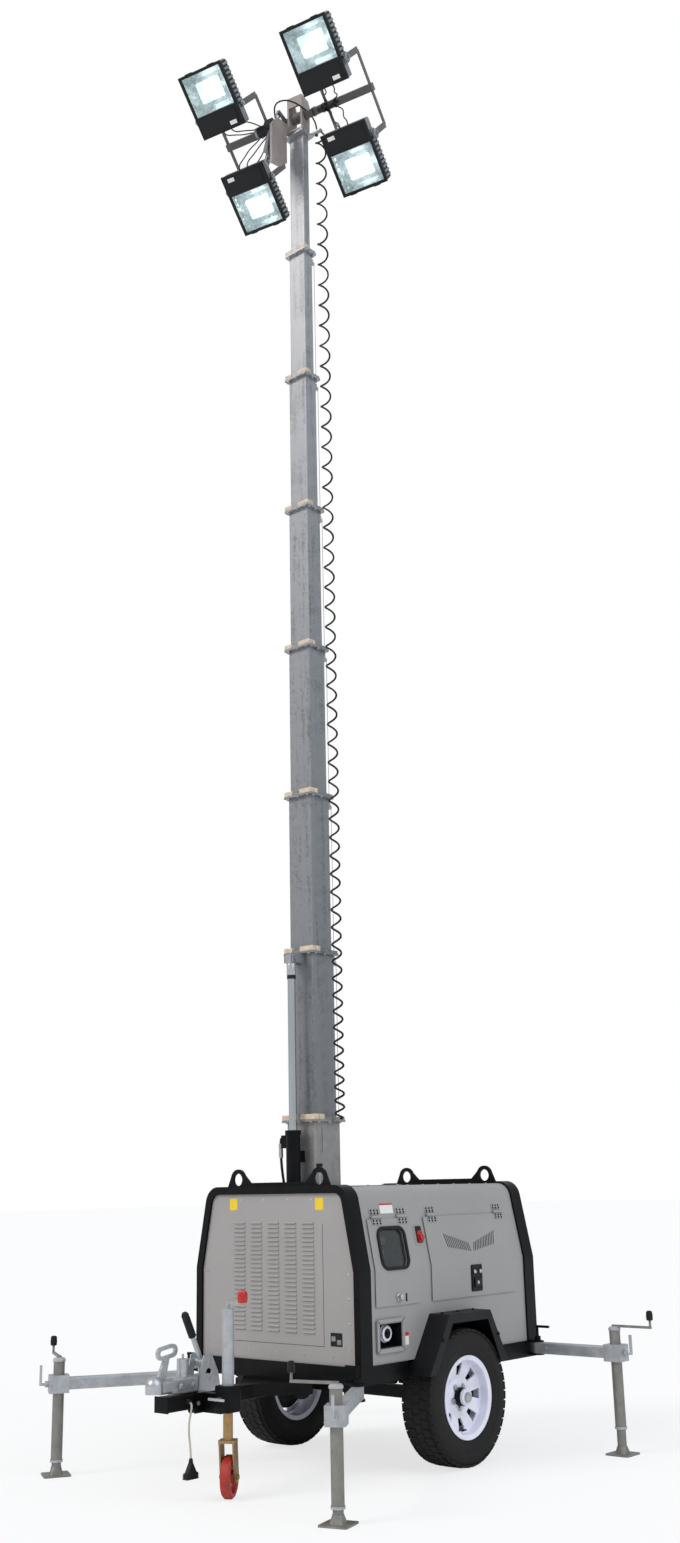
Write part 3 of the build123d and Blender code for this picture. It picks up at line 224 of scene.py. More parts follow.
def turned(profile, sides=32, fill="NGON", angle=35):
    """Lathe-turned form about Z: a disc or ring drawn up through rings of (radius, height)."""
    radius, height = profile[0]
    only()
    bpy.ops.mesh.primitive_circle_add(vertices=sides, radius=radius, fill_type=fill,
                                      location=(0, 0, height))
    piece = settle(bpy.context.object)
    edit_all()
    for ring, rise in profile[1:]:
        bpy.ops.mesh.extrude_region_move(TRANSFORM_OT_translate={"value": (0, 0, rise - height)})
        bpy.ops.transform.resize(value=(ring / radius, ring / radius, 1), center_override=(0, 0, rise))
        radius, height = ring, rise
    close_edit()
    return smooth(piece, angle)


def slab(width, height, thick, corner=0.004, band=0.0, sides=5):
    """Rounded plate on the XY plane that rises by its thickness; with a band it is a frame."""
    only()
    bpy.ops.mesh.primitive_plane_add(size=1)
    piece = bpy.context.object
    piece.scale = (width, height, 1)
    settle(piece)
    edit_all()
    if corner:
        bpy.ops.mesh.bevel(offset=corner, segments=sides, affect="VERTICES")
    bpy.ops.mesh.select_all(action="SELECT")
    if band:
        bpy.ops.mesh.inset(thickness=band)
        bpy.ops.mesh.delete(type="FACE")
        bpy.ops.mesh.select_all(action="SELECT")
    bpy.ops.mesh.extrude_region_move(TRANSFORM_OT_translate={"value": (0, 0, thick)})
    close_edit()
    return smooth(ease(piece, min(thick, 0.004) * 0.3, 1))


def bolt_head(across_flats=0.016, washer=True):
    """Hexagon head on its washer, standing on the XY plane."""
    only()
    bpy.ops.mesh.primitive_cylinder_add(vertices=6, radius=across_flats / sqrt(3),
                                        depth=0.4 * across_flats,
                                        location=(0, 0, 0.2 * across_flats + 0.002))
    head = ease(settle(bpy.context.object), 0.0006, 1)
    if not washer:
        return head
    ring = turned([(0.85 * across_flats, -0.001), (0.85 * across_flats, 0.0015),
                   (0.78 * across_flats, 0.002)], 16)
    return joined("bolt", [head, ring])


def nurbs_line(points, name, steps):
    """Smooth curve object along control points."""
    curve = bpy.data.curves.new(name, "CURVE")
    curve.dimensions = "3D"
    spline = curve.splines.new("NURBS")
    spline.points.add(len(points) - 1)
    for point, place in zip(spline.points, points):
        point.co = (*place, 1)
    spline.order_u = 3
    spline.use_endpoint_u = True
    spline.resolution_u = steps
    line = bpy.data.objects.new(name, curve)
    bpy.context.collection.objects.link(line)
    return line


def tube(points, radius, name, turns=2):
    """Bent bar or fixed wire along a smooth line, as a mesh."""
    piece = nurbs_line(points, name, 6)
    piece.data.bevel_depth = radius
    piece.data.bevel_resolution = turns
    piece.data.use_fill_caps = True
    only(piece)
    bpy.ops.object.convert(target="MESH")
    return smooth(bpy.context.object, 60)


def at(*values):
    """Move to a place in millimetres."""
    return Matrix.Translation(mm(*values))


def basis(origin, across, up):
    """Place for a piece made on the XY plane: its X along across and its Y along up."""
    across = Vector(across).normalized()
    out = across.cross(Vector(up)).normalized()
    up = out.cross(across)
    place = Matrix((across, up, out)).transposed().to_4x4()
    place.translation = Vector(origin)
    return place


def upright(origin, across=(0, 1, 0)):
    """Place for a piece made on the XY plane: its Y points up and its X along across."""
    return basis(origin, across, (0, 0, 1))


def put(piece, place):
    """Set a piece into its place, kept in its mesh."""
    piece.matrix_world = place @ piece.matrix_world
    return settle(piece)


def joined(name, pieces):
    """One object of several."""
    only(*pieces)
    if len(pieces) > 1:
        bpy.ops.object.join()
    piece = bpy.context.view_layer.objects.active
    piece.name = name
    return piece


def copies(name, source, places):
    """Copies of a piece at many places, each with its own mesh, joined; the source is used up."""
    made = []
    for place in places:
        twin = source.copy()
        twin.data = source.data.copy()
        bpy.context.collection.objects.link(twin)
        made.append(put(twin, place))
    only(source)
    bpy.ops.object.delete()
    return joined(name, made)


FINISH = {}


def dress(piece, name, finish, body="trailer"):
    """Name a finished piece, give it its finish and let it ride on its body."""
    piece.name = name
    piece.data.materials.clear()
    piece.data.materials.append(FINISH[finish])
    for face in piece.data.polygons:
        face.material_index = 0
    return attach(piece, body)


# Places on the machine


def side_x(z, proud=0.0):
    """Distance of the canopy side's skin from the middle at a height, moved out by proud."""
    if z <= WAIST_Z + proud * tan(LEAN / 2):
        return SKIN_X + proud
    return SKIN_X + proud / cos(LEAN) - (z - WAIST_Z) * tan(LEAN)


def on_side(y, z, proud=0.0, side=1):
    """Place on the canopy side: X along the trailer, Y up the skin, Z outward."""
    slope = LEAN if z > WAIST_Z else 0
    up = (-side * sin(slope), 0, cos(slope))
    return basis(mm(side * side_x(z, proud), AXLE_Y + y, z), (0, side, 0), up)


def on_front(x, z, y=None):
    """Place on the front panel, facing forward."""
    return upright(mm(x, FRONT_Y + PANEL_RECESS if y is None else y, z), (1, 0, 0))


HEAD_X = Vector((cos(HEAD_TURN), sin(HEAD_TURN), 0))
LAMP_UP = Vector((sin(HEAD_TURN) * sin(LAMP_PITCH), -cos(HEAD_TURN) * sin(LAMP_PITCH), cos(LAMP_PITCH)))
LAMP_OUT = HEAD_X.cross(LAMP_UP)
BAR_AT = mm(0, MAST_Y, BAR_Z)
MAST_AT = mm(0, MAST_Y, MAST_TOP)
HEAD_BACK = Vector((-sin(HEAD_TURN), cos(HEAD_TURN), 0))


def in_lamp(u, v, w):
    """Point of the lamp head: along the bar, up the lamps and out of their glass, in millimetres."""
    return BAR_AT + (u * HEAD_X + v * LAMP_UP + w * LAMP_OUT) / 1000


def in_head(u, back, up):
    """Point of the mast head: along the bar, backward and up, in millimetres."""
    return MAST_AT + (u * HEAD_X + back * HEAD_BACK) / 1000 + mm(0, 0, up)


LUG_AT = (-112.0, -236.0, -330.0)
EYE_AT = (-112.0, -88.0, 162.7)


def actuator_place():
    """Place of the tilt actuator: Z runs from its lug to its eye and X along the bar."""
    lug, eye = in_head(*LUG_AT), in_head(*EYE_AT)
    run = (eye - lug).normalized()
    place = Matrix((HEAD_X, run.cross(HEAD_X), run)).transposed().to_4x4()
    place.translation = lug
    return place


# Finishes


def add(tree, kind, settings=(), links=()):
    """Add a node with its settings and with links from other nodes' outputs to its inputs."""
    made = tree.nodes.new(kind)
    for key, value in dict(settings).items():
        if isinstance(key, int) or key in made.inputs:
            made.inputs[key].default_value = value
        else:
            setattr(made, key, value)
    for key, source in dict(links).items():
        tree.links.new(source, made.inputs[key])
    return made


def finish_named(name, colour, metallic, roughness):
    """New material with its own shader at plain values."""
    material = bpy.data.materials.new(name)
    material.use_nodes = True
    tree = material.node_tree
    shader = tree.nodes["Principled BSDF"]
    shader.inputs["Base Color"].default_value = (*colour, 1)
    shader.inputs["Metallic"].default_value = metallic
    shader.inputs["Roughness"].default_value = roughness
    material.diffuse_color = (*colour, 1)
    return material, tree, shader


def ramp_between(tree, source, low, high, start=0.3, end=0.7):
    """Colour ramp from one colour to another."""
    ramp = add(tree, "ShaderNodeValToRGB", links={"Fac": source})
    ramp.color_ramp.elements[0].position = start
    ramp.color_ramp.elements[0].color = (*low, 1)
    ramp.color_ramp.elements[1].position = end
    ramp.color_ramp.elements[1].color = (*high, 1)
    return ramp.outputs["Color"]


def shade_of(colour, factor):
    """The same colour lighter or darker."""
    return tuple(min(1.0, channel * factor) for channel in colour)


def mottle(tree, shader, colour, size, spread, rough=None, stretch=(1, 1, 1)):
    """Uneven colour and gloss, as dust, handling and batch leave them; size is that of a patch in mm."""
    place = add(tree, "ShaderNodeTexCoord")
    turn = add(tree, "ShaderNodeMapping", {"Scale": stretch}, {"Vector": place.outputs["Object"]})
    noise = add(tree, "ShaderNodeTexNoise", {"Scale": 1000 / size, "Detail": 5.0, "Roughness": 0.6},
                {"Vector": turn.outputs["Vector"]})
    tint = ramp_between(tree, noise.outputs["Fac"], shade_of(colour, 1 - spread),
                        shade_of(colour, 1 + spread))
    tree.links.new(tint, shader.inputs["Base Color"])
    if rough:
        gloss = add(tree, "ShaderNodeMapRange", {"From Min": 0.3, "From Max": 0.7, "To Min": rough[0],
                                                 "To Max": rough[1]}, {"Value": noise.outputs["Fac"]})
        tree.links.new(gloss.outputs["Result"], shader.inputs["Roughness"])
    return place


def texture_bump(tree, shader, place, size, depth, kind="ShaderNodeTexNoise"):
    """Fine relief of one grain size in mm and a depth in mm."""
    grain = add(tree, kind, {"Scale": 1000 / size}, {"Vector": place.outputs["Object"]})
    height = grain.outputs["Fac"] if kind == "ShaderNodeTexNoise" else grain.outputs["Distance"]
    bump = add(tree, "ShaderNodeBump", {"Strength": 0.35, "Distance": depth / 1000}, {"Height": height})
    tree.links.new(bump.outputs["Normal"], shader.inputs["Normal"])


def coat(name, colour, metallic, roughness, size, spread, gloss=None, grain=None, sheen=None,
         stretch=(1, 1, 1), relief="ShaderNodeTexNoise"):
    """Finish of one colour with mottled patches; grain is a size and a depth in mm."""
    material, tree, shader = finish_named(name, colour, metallic, roughness)
    if sheen is not None:
        shader.inputs["Specular IOR Level"].default_value = sheen
    place = mottle(tree, shader, colour, size, spread, gloss, stretch)
    if grain:
        texture_bump(tree, shader, place, *grain, relief)
    return material


def panel_powder_coat(colour):
    """Polyester powder coat on folded sheet: even satin grey with a faint orange peel and road dust."""
    return coat("panel_powder_coat", colour, 0.0, 0.42, 420, 0.035, (0.38, 0.48), (4.0, 0.05))


def black_enamel(colour):
    """Sprayed black enamel on steel tube: glossy where rubbed, greyer where dusty."""
    return coat("black_enamel", colour, 0.0, 0.34, 90, 0.35, (0.26, 0.46), (3.0, 0.06), 0.14)


def black_polyethylene():
    """Rotationally moulded fender and moulded covers: deep black with a soft sheen and pebble grain."""
    return coat("black_polyethylene", linear("#101012"), 0.0, 0.5, 60, 0.25, (0.42, 0.6), (1.8, 0.12), 0.3)


def galvanised_section(colour):
    """Hot-dip galvanised sheet of the mast: 14 mm zinc crystals and drawn streaks, with painted shade that
    darkens it towards the foot.
    """
    material, tree, shader = finish_named("galvanised_section", colour, 0.5, 0.45)
    place = add(tree, "ShaderNodeTexCoord")
    crystals = add(tree, "ShaderNodeTexVoronoi", {"Scale": 1000 / 14, "Randomness": 1.0},
                   {"Vector": place.outputs["Object"]})
    grey = add(tree, "ShaderNodeRGBToBW", links={"Color": crystals.outputs["Color"]})
    drawn = add(tree, "ShaderNodeMapping", {"Scale": (1, 1, 0.035)}, {"Vector": place.outputs["Object"]})
    streaks = add(tree, "ShaderNodeTexNoise", {"Scale": 1000 / 26, "Detail": 4.0},
                  {"Vector": drawn.outputs["Vector"]})
    clouds = add(tree, "ShaderNodeTexNoise", {"Scale": 1000 / 190, "Detail": 3.0},
                 {"Vector": place.outputs["Object"]})
    both = add(tree, "ShaderNodeMath", {"operation": "MULTIPLY_ADD", 1: 0.30},
               {0: grey.outputs["Val"], 2: streaks.outputs["Fac"]})
    total = add(tree, "ShaderNodeMath", {"operation": "MULTIPLY_ADD", 1: 0.7},
                {0: clouds.outputs["Fac"], 2: both.outputs["Value"]})
    tint = ramp_between(tree, total.outputs["Value"], shade_of(colour, 0.62), shade_of(colour, 1.12),
                        0.62, 1.3)
    # Painted shade: the zinc's colour is scaled by 0.48 at the top of the base up to 0.84 at the mast top,
    # darker towards the foot.
    height = add(tree, "ShaderNodeSeparateXYZ", links={"Vector": place.outputs["Object"]})
    painted_foot_shade = add(tree, "ShaderNodeMapRange", {"From Min": BASE_TOP / 1000, "From Max": MAST_TOP / 1000,
                                             "To Min": 0.48, "To Max": 0.84}, {"Value": height.outputs["Z"]})
    foot_shaded_tint = add(tree, "ShaderNodeVectorMath", {"operation": "SCALE"}, {0: tint})
    tree.links.new(painted_foot_shade.outputs["Result"], foot_shaded_tint.inputs["Scale"])
    tree.links.new(foot_shaded_tint.outputs["Vector"], shader.inputs["Base Color"])
    gloss = add(tree, "ShaderNodeMapRange", {"From Min": 0.2, "From Max": 0.8, "To Min": 0.34,
                                             "To Max": 0.5}, {"Value": grey.outputs["Val"]})
    tree.links.new(gloss.outputs["Result"], shader.inputs["Roughness"])
    return material


def galvanised_casting(colour, name="galvanised_arm", darker=0.85):
    """Galvanised arms, jacks and brackets: dull, cloudy zinc with small runs."""
    return coat(name, shade_of(colour, darker), 0.55, 0.5, 45, 0.16, (0.42, 0.6), (2.5, 0.10))


def grey_primer(name, code):
    """Grey-brown primer on the light bar, its yokes and bracket: flat, a little chalky."""
    return coat(name, linear(code), 0.0, 0.6, 60, 0.12, (0.5, 0.7), (2.0, 0.08))


def bright_zinc():
    """Bright zinc plate on the coupling and small fittings: light, slightly blue, fairly glossy."""
    return coat("bright_zinc", linear("#B9BBBD"), 0.8, 0.33, 25, 0.12, (0.26, 0.42), (1.5, 0.05))


def yellow_passivate(colour):
    """Yellow chromate on zinc: brassy with green and pink clouds."""
    material, tree, shader = finish_named("yellow_passivate", colour, 0.75, 0.36)
    place = add(tree, "ShaderNodeTexCoord")
    noise = add(tree, "ShaderNodeTexNoise", {"Scale": 1000 / 30, "Detail": 3.0},
                {"Vector": place.outputs["Object"]})
    tint = ramp_between(tree, noise.outputs["Fac"], linear("#8E8250"), linear("#B98A62"))
    tree.links.new(tint, shader.inputs["Base Color"])
    texture_bump(tree, shader, place, 1.2, 0.04)
    return material


def hard_chrome():
    """Hard chrome on the lift rod: mirror bright with the faintest lengthwise marks."""
    return coat("hard_chrome", linear("#C9CBCD"), 1.0, 0.14, 20, 0.04, (0.1, 0.2), stretch=(1, 1, 0.05))


def cast_lamp_body():
    """Die-cast aluminium lamp body under clear coat: light grey with a fine sandy skin."""
    return coat("cast_lamp_body", linear("#8D9194"), 0.6, 0.46, 35, 0.08, (0.4, 0.52), (1.0, 0.08))


def lamp_bezel_black():
    """Black powder coat on the lamp's front frame and gear tray: matt with a fine texture."""
    return coat("lamp_bezel_black", linear("#131416"), 0.0, 0.5, 40, 0.2, (0.44, 0.58), (1.4, 0.1), 0.3)


def toughened_glass():
    """Flat toughened glass: clear, with a hard bright reflection."""
    material, tree, shader = finish_named("toughened_glass", linear("#EEF6F4"), 0.0, 0.03)
    shader.inputs["Transmission Weight"].default_value = 1.0
    shader.inputs["IOR"].default_value = 1.5
    place = add(tree, "ShaderNodeTexCoord")
    wave = add(tree, "ShaderNodeTexNoise", {"Scale": 1000 / 160}, {"Vector": place.outputs["Object"]})
    bump = add(tree, "ShaderNodeBump", {"Strength": 0.05, "Distance": 0.001},
               {"Height": wave.outputs["Fac"]})
    tree.links.new(bump.outputs["Normal"], shader.inputs["Normal"])
    return material


def smoked_acrylic():
    """Smoked acrylic of the control window: grey, see-through, glossy."""
    colour = linear("#A9ADAF")
    material, tree, shader = finish_named("smoked_acrylic", colour, 0.0, 0.06)
    shader.inputs["Transmission Weight"].default_value = 0.97
    shader.inputs["IOR"].default_value = 1.49
    place = add(tree, "ShaderNodeTexCoord")
    haze = add(tree, "ShaderNodeTexNoise", {"Scale": 1000 / 70}, {"Vector": place.outputs["Object"]})
    gloss = add(tree, "ShaderNodeMapRange", {"To Min": 0.03, "To Max": 0.12}, {"Value": haze.outputs["Fac"]})
    tree.links.new(gloss.outputs["Result"], shader.inputs["Roughness"])
    return material


def lit_reflector(name, dark, light, power):
    """Hammered aluminium reflector of a burning lamp: facets about 18 mm wide, white to pale green. Its glow
    is painted light of the tube, made in a brighter and a dimmer copy.
    """
    colour = linear(light)
    material, tree, shader = finish_named(name, colour, 0.5, 0.3)
    place = add(tree, "ShaderNodeTexCoord")
    facets = add(tree, "ShaderNodeTexVoronoi", {"Scale": 1000 / 18, "Randomness": 0.35},
                 {"Vector": place.outputs["Object"]})
    grey = add(tree, "ShaderNodeRGBToBW", links={"Color": facets.outputs["Color"]})
    clouds = add(tree, "ShaderNodeTexNoise", {"Scale": 1000 / 120, "Detail": 2.0},
                 {"Vector": place.outputs["Object"]})
    blend = add(tree, "ShaderNodeMath", {"operation": "MULTIPLY_ADD", 1: 0.35},
                {0: grey.outputs["Val"], 2: clouds.outputs["Fac"]})
    glow = ramp_between(tree, blend.outputs["Value"], linear(dark), linear(light), 0.48, 0.82)
    tree.links.new(glow, shader.inputs["Emission Color"])
    tree.links.new(glow, shader.inputs["Base Color"])
    shader.inputs["Emission Strength"].default_value = power
    bump = add(tree, "ShaderNodeBump", {"Strength": 0.5, "Distance": 0.002},
               {"Height": facets.outputs["Distance"]})
    tree.links.new(bump.outputs["Normal"], shader.inputs["Normal"])
    return material


def burning_tube():
    """Arc tube at full power: plain white light."""
    material, _, shader = finish_named("burning_tube", linear("#FFFFFF"), 0.0, 0.4)
    shader.inputs["Emission Color"].default_value = (1.0, 1.0, 0.97, 1)
    shader.inputs["Emission Strength"].default_value = 3.0
    return material


def cast_nylon(colour):
    """Cast nylon guide pads: waxy tan with darker patches, as grease and dust leave them."""
    return coat("cast_nylon", colour, 0.0, 0.55, 30, 0.22, (0.45, 0.65), (1.5, 0.08))


def tyre_rubber():
    """Vulcanised tread and sidewall: near black, brownish in patches with a matt grain."""
    return coat("tyre_rubber", linear("#1A1817"), 0.0, 0.68, 55, 0.3, (0.6, 0.78), (2.2, 0.15), 0.3)


def white_enamel():
    """White stove enamel on the wheel: clean and glossy, a little greyer in patches."""
    return coat("white_enamel", linear("#E8E6F2"), 0.0, 0.3, 70, 0.06, (0.25, 0.4), (3.0, 0.04))


def red_polyurethane(colour):
    """Red polyurethane wheel: scuffed, with an uneven gloss."""
    return coat("red_polyurethane", colour, 0.0, 0.45, 22, 0.25, (0.35, 0.6), (1.4, 0.1))


def red_knob():
    """Red phenolic hand knobs: deep gloss with faint rubbing."""
    return coat("red_knob", linear("#B4211C"), 0.0, 0.25, 12, 0.12, (0.2, 0.36))


def soft_pvc(name, code):
    """Soft PVC cable sheath: even colour, faint grease marks, low gloss."""
    return coat(name, linear(code), 0.0, 0.45, 18, 0.15, (0.38, 0.55), sheen=0.35)


def printed_vinyl(name, code):
    """Blank vinyl label: flat colour, slightly faded in patches, with a soft gloss."""
    return coat(name, linear(code), 0.0, 0.35, 15, 0.05, (0.3, 0.42))


def engine_cast():
    """Cast iron and sheet of the generator set: dark, oily."""
    return coat("engine_cast", linear("#2B2D30"), 0.3, 0.5, 50, 0.3, (0.35, 0.65), (3.0, 0.3))


def tail_lens():
    """Red acrylic lens of the tail lamps: prisms 6 mm apart under a gloss face."""
    return coat("tail_lens", linear("#8E1714"), 0.0, 0.15, 30, 0.1, None, (6.0, 0.6), None, (1, 1, 1),
                "ShaderNodeTexVoronoi")


def mix_finishes(colours):
    """Make each finish once."""
    panel, frame_black, zinc = tuple(colours.panel), tuple(colours.frame), tuple(colours.zinc)
    FINISH.update(
        panel=panel_powder_coat(panel), frame=black_enamel(frame_black), moulded=black_polyethylene(),
        section=galvanised_section(zinc), arm=galvanised_casting(zinc, darker=1.05), bright=bright_zinc(),
        head=galvanised_casting(zinc, "galvanised_head", 0.72), bar=grey_primer("primed_bar", "#625D5A"),
        bracket=grey_primer("primed_bracket", "#9A908B"), jack=galvanised_casting(
            linear("#93918A"), "galvanised_jack", 0.8), base=galvanised_casting(
                linear("#969492"), "galvanised_base", 0.95),
        passivate=yellow_passivate(tuple(colours.passivate)), chrome=hard_chrome(),
        lamp=cast_lamp_body(), bezel=lamp_bezel_black(), glass=toughened_glass(), smoked=smoked_acrylic(),
        # Painted light and shade: one reflector in two copies, the back bright at 0.75 and the walls dimmer
        # at 0.26 as painted shade.
        reflector=lit_reflector("lit_reflector_back", "#D4E0E2", "#FFFFFF", 0.75),
        reflector_wall=lit_reflector("lit_reflector_wall", "#97A5AB", "#D0DBE0", 0.26),
        burning=burning_tube(), nylon=cast_nylon(tuple(colours.nylon)),
        tyre=tyre_rubber(), enamel=white_enamel(), red_wheel=red_polyurethane(tuple(colours.wheel_red)),
        knob=red_knob(), cord=soft_pvc("cord_pvc", "#101011"), lead=soft_pvc("lead_pvc", "#B9B3A4"),
        yellow=printed_vinyl("yellow_vinyl", "#E8C620"), white=printed_vinyl("white_vinyl", "#E6E4E0"),
        red=printed_vinyl("red_vinyl", "#B9332B"), engine=engine_cast(), lens=tail_lens())


NODE_FINISH = {
    "panel": ("front_panel", "rear_panel", "roof", "side_left", "side_right", "control_door",
              "engine_door_left", "engine_door_right"),
    "frame": ("chassis", "floor_pan", "drawbar", "axle", "leaf_springs", "front_arch", "rear_arch",
              "lifting_plates", "cylinder_barrel"),
    "moulded": ("fenders", "power_inlet", "control_panel", "lead_plug"),
    "section": tuple("mast_section_%d" % (i + 1) for i in range(SECTIONS)),
    "base": ("mast_base",),
    "arm": ("arm_front_left", "arm_front_right", "arm_rear_left", "arm_rear_right", "jockey_tube"),
    "jack": ("jack_front_left", "jack_front_right", "jack_rear_left", "jack_rear_right"),
    "bright": ("coupling", "handbrake"),
    "bracket": ("head_bracket",),
    "bar": ("light_bar",),
    "passivate": ("jockey_stem", "jockey_fork"),
    "chrome": ("cylinder_rod", "tilt_rod"),
    "lamp": ("lamp_housings", "tilt_barrel"),
    "glass": ("lamp_glasses",),
    "smoked": ("window_glass",),
    "tyre": ("tyre_left", "tyre_right"),
    "enamel": ("rim_left", "rim_right"),
    "red_wheel": ("jockey_wheel",),
    "engine": ("engine_block",),
    "lens": ("tail_lamps",),
    "cord": ("curly_cord",),
    "lead": ("light_lead",),
}


class TOWER_OT_finishes(bpy.types.Operator):
    """Give every CAD piece its finish"""

    bl_idname = "tower.finishes"
    bl_label = "Finishes"

    def execute(self, context):
        mix_finishes(context.scene.tower_colours)
        for finish, names in NODE_FINISH.items():
            for name in names:
                node = frame["nodes"][name]
                for slot in node.material_slots:
                    slot.material = FINISH[finish]
        return {"FINISHED"}


# Cords


def line_points(points):
    """Points along the NURBS line of a cord's control points, and the line's length."""
    line = nurbs_line(points, "line", 4)
    bpy.context.view_layer.update()
    mesh = bpy.data.meshes.new_from_object(line)
    found = [vertex.co.copy() for vertex in mesh.vertices]
    bpy.data.objects.remove(line)
    bpy.data.meshes.remove(mesh)
    return found, sum((b - a).length for a, b in zip(found, found[1:]))


CORD_X = 160.0
CORD_Y = MAST_Y + 46
CORD_LOW = BASE_TOP - 16
CORD_HIGH = MAST_TOP - 28
PITCH_LOW = 60.0
PITCH_HIGH = 166.0


class TOWER_OT_mast_cord(bpy.types.Operator):
    """Curly cord that climbs beside the mast, its turns wider apart toward the top"""

    bl_idname = "tower.mast_cord"
    bl_label = "Curly cord"

    def execute(self, context):
        sizes = context.scene.tower_sizes
        steps = sizes.turn_points
        points = [mm(CORD_X, CORD_Y, CORD_LOW)]
        height, turn = CORD_LOW + 8, 0
        while height < CORD_HIGH - 8:
            share = (height - CORD_LOW) / (CORD_HIGH - CORD_LOW)
            outer = sizes.coil_low + (sizes.coil_high - sizes.coil_low) * share
            radius = (outer - sizes.cord_diameter) / 2
            angle = -2 * pi * turn / steps
            points.append(mm(CORD_X, CORD_Y, height) + Vector((radius * cos(angle), radius * sin(angle), 0)))
            height += (PITCH_LOW + (PITCH_HIGH - PITCH_LOW) * sqrt(share)) / steps
            turn += 1
        points.append(mm(CORD_X, CORD_Y, CORD_HIGH))
        path, length = line_points(points)
        cord = tube(path, sizes.cord_diameter / 2, "mast_cord", 1)
        dress(cord, "mast_cord", "cord")
        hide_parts("curly_cord")
        height = CORD_HIGH - CORD_LOW
        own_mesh(cord)
        return {"FINISHED"}


LEAD_X = 45.0
LEAD_ROUTE = [(LEAD_X, -1420, 440), (LEAD_X + 34, -1420, 440), (LEAD_X + 50, -1440, 400),
              (LEAD_X + 50, -1454, 352), (LEAD_X + 48, -1452, 300), (LEAD_X + 49, -1445, 250),
              (LEAD_X + 52, -1442, 210), (LEAD_X + 52, -1442, 172)]


class TOWER_OT_light_lead(bpy.types.Operator):
    """Lead of the trailer lights, with its plug and its grommet"""

    bl_idname = "tower.light_lead"
    bl_label = "Light lead"

    def execute(self, context):
        diameter = context.scene.tower_sizes.lead_diameter
        route = [mm(x, AXLE_Y + y, z) for x, y, z in LEAD_ROUTE]
        path, length = line_points(route)
        lead = tube(route, diameter / 2, "trailer_lead", 3)
        dress(lead, "trailer_lead", "lead")
        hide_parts("light_lead")
        top = route[-1]
        cap = turned([(0.013, -0.022), (0.012, -0.01), (0.0105, 0.012), (0.0075, 0.02), (0.0065, 0.022)], 20)
        put(cap, Matrix.Translation(top))
        ribs = copies("ribs", slab(0.036, 0.003, 0.0012, 0.0012), [
            basis(top + mm(0, side * 37.6, -50 - 6 * i), (1, 0, 0), (0, 0, side)) for side in (-1, 1)
            for i in range(4)])
        cover = joined("lead_plug_cover", [cap, ribs])
        dress(cover, "lead_plug_cover", "moulded")
        grommet = turned([(0.014, 0.0), (0.013, 0.006), (0.009, 0.02), (0.0065, 0.03), (0.0055, 0.03)], 20)
        put(grommet, upright(route[0] - mm(0.5, 0, 0)))
        dress(grommet, "lead_grommet", "cord")
        return {"FINISHED"}


# Mast


PAD_RISE = 13.0


def section_half(index):
    """Half width and half depth of a section, with 0 for the foot, in millimetres."""
    if index == 0:
        return 108.0, 108.0
    return (186.0 - 10 * (index - 1)) / 2, (190.0 - 22.5 * (index - 1)) / 2


def mast_body(index):
    """Body that a collar rides on."""
    return "trailer" if index == 0 else "mast_%d" % index


class TOWER_OT_mast_collars(bpy.types.Operator):
    """Nylon pads, bolts, pulleys and ropes at each collar of the mast"""

    bl_idname = "tower.mast_collars"
    bl_label = "Mast collars"

    def execute(self, context):
        for index in range(SECTIONS):
            top = BASE_TOP + index * EXPOSURE
            wide, deep = section_half(index)
            inner_wide, inner_deep = section_half(index + 1)
            out_x, out_y = wide + COLLAR - 4.2, deep + COLLAR - 4.2
            in_x, in_y = inner_wide + 0.8, inner_deep + 0.8
            pads = []
            for side in (-1, 1):
                low_y, high_y = sorted((side * in_y, side * (out_y + 1.2)))
                low_x, high_x = sorted((-side * in_x, -side * (out_x + 1.2)))
                near, far = -side * (out_x + 1.2), side * (out_x + 1.2)
                spans = [(near, -side * 0.12 * out_x)]
                if side < 0:
                    spans.append((far, side * 0.42 * out_x))
                for start, end in spans:
                    start, end = sorted((start, end))
                    pads.append(block(mm(start, MAST_Y + low_y, top - 16.4),
                                      mm(end, MAST_Y + high_y, top + PAD_RISE), 0.002))
                start, end = sorted((side * (in_y - 4), side * 0.5 * in_y))
                pads.append(block(mm(low_x, MAST_Y + start, top - 16.4),
                                  mm(high_x, MAST_Y + end, top + PAD_RISE), 0.002))
            dress(joined("pads", pads), "mast_pads_%d" % index, "nylon", mast_body(index))
            places = []
            for side in (-1, 1):
                for share in (-0.72, 0, 0.72):
                    places.append(basis(mm(share * out_x, MAST_Y + side * (deep + COLLAR - 9), top - 28),
                                        (1, 0, 0), (0, -1, 0)))
                    places.append(basis(mm(side * (wide + COLLAR - 9), MAST_Y + share * out_y, top - 28),
                                        (1, 0, 0), (0, -1, 0)))
            dress(copies("bolts", bolt_head(context.scene.tower_sizes.bolt), places),
                  "mast_bolts_%d" % index, "bright", mast_body(index))
            if index == 0:
                continue
            x, y = wide - 30, deep + 28
            pulley = turned([(0.016, -0.005), (0.016, -0.003), (0.012, 0.0), (0.016, 0.003), (0.016, 0.005),
                             (0.006, 0.005), (0.006, 0.009)], 24)
            put(pulley, upright(mm(x + 9, MAST_Y + y, top - 68)))
            dress(pulley, "mast_pulley_%d" % index, "bright", mast_body(index))
            below = BASE_TOP + (index - 1) * EXPOSURE
            rope = joined("ropes", [rod(mm(x + 9 + shift, MAST_Y + y + 15 * end, below + 2),
                                        mm(x + 9 + shift, MAST_Y + y + 15 * end, top - 70), 0.0016, 6)
                                    for shift, end in ((0, 1), (0, -1))])
            dress(rope, "mast_rope_%d" % index, "head", mast_body(index - 1))
            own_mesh(rope)
        return {"FINISHED"}


# Floodlights


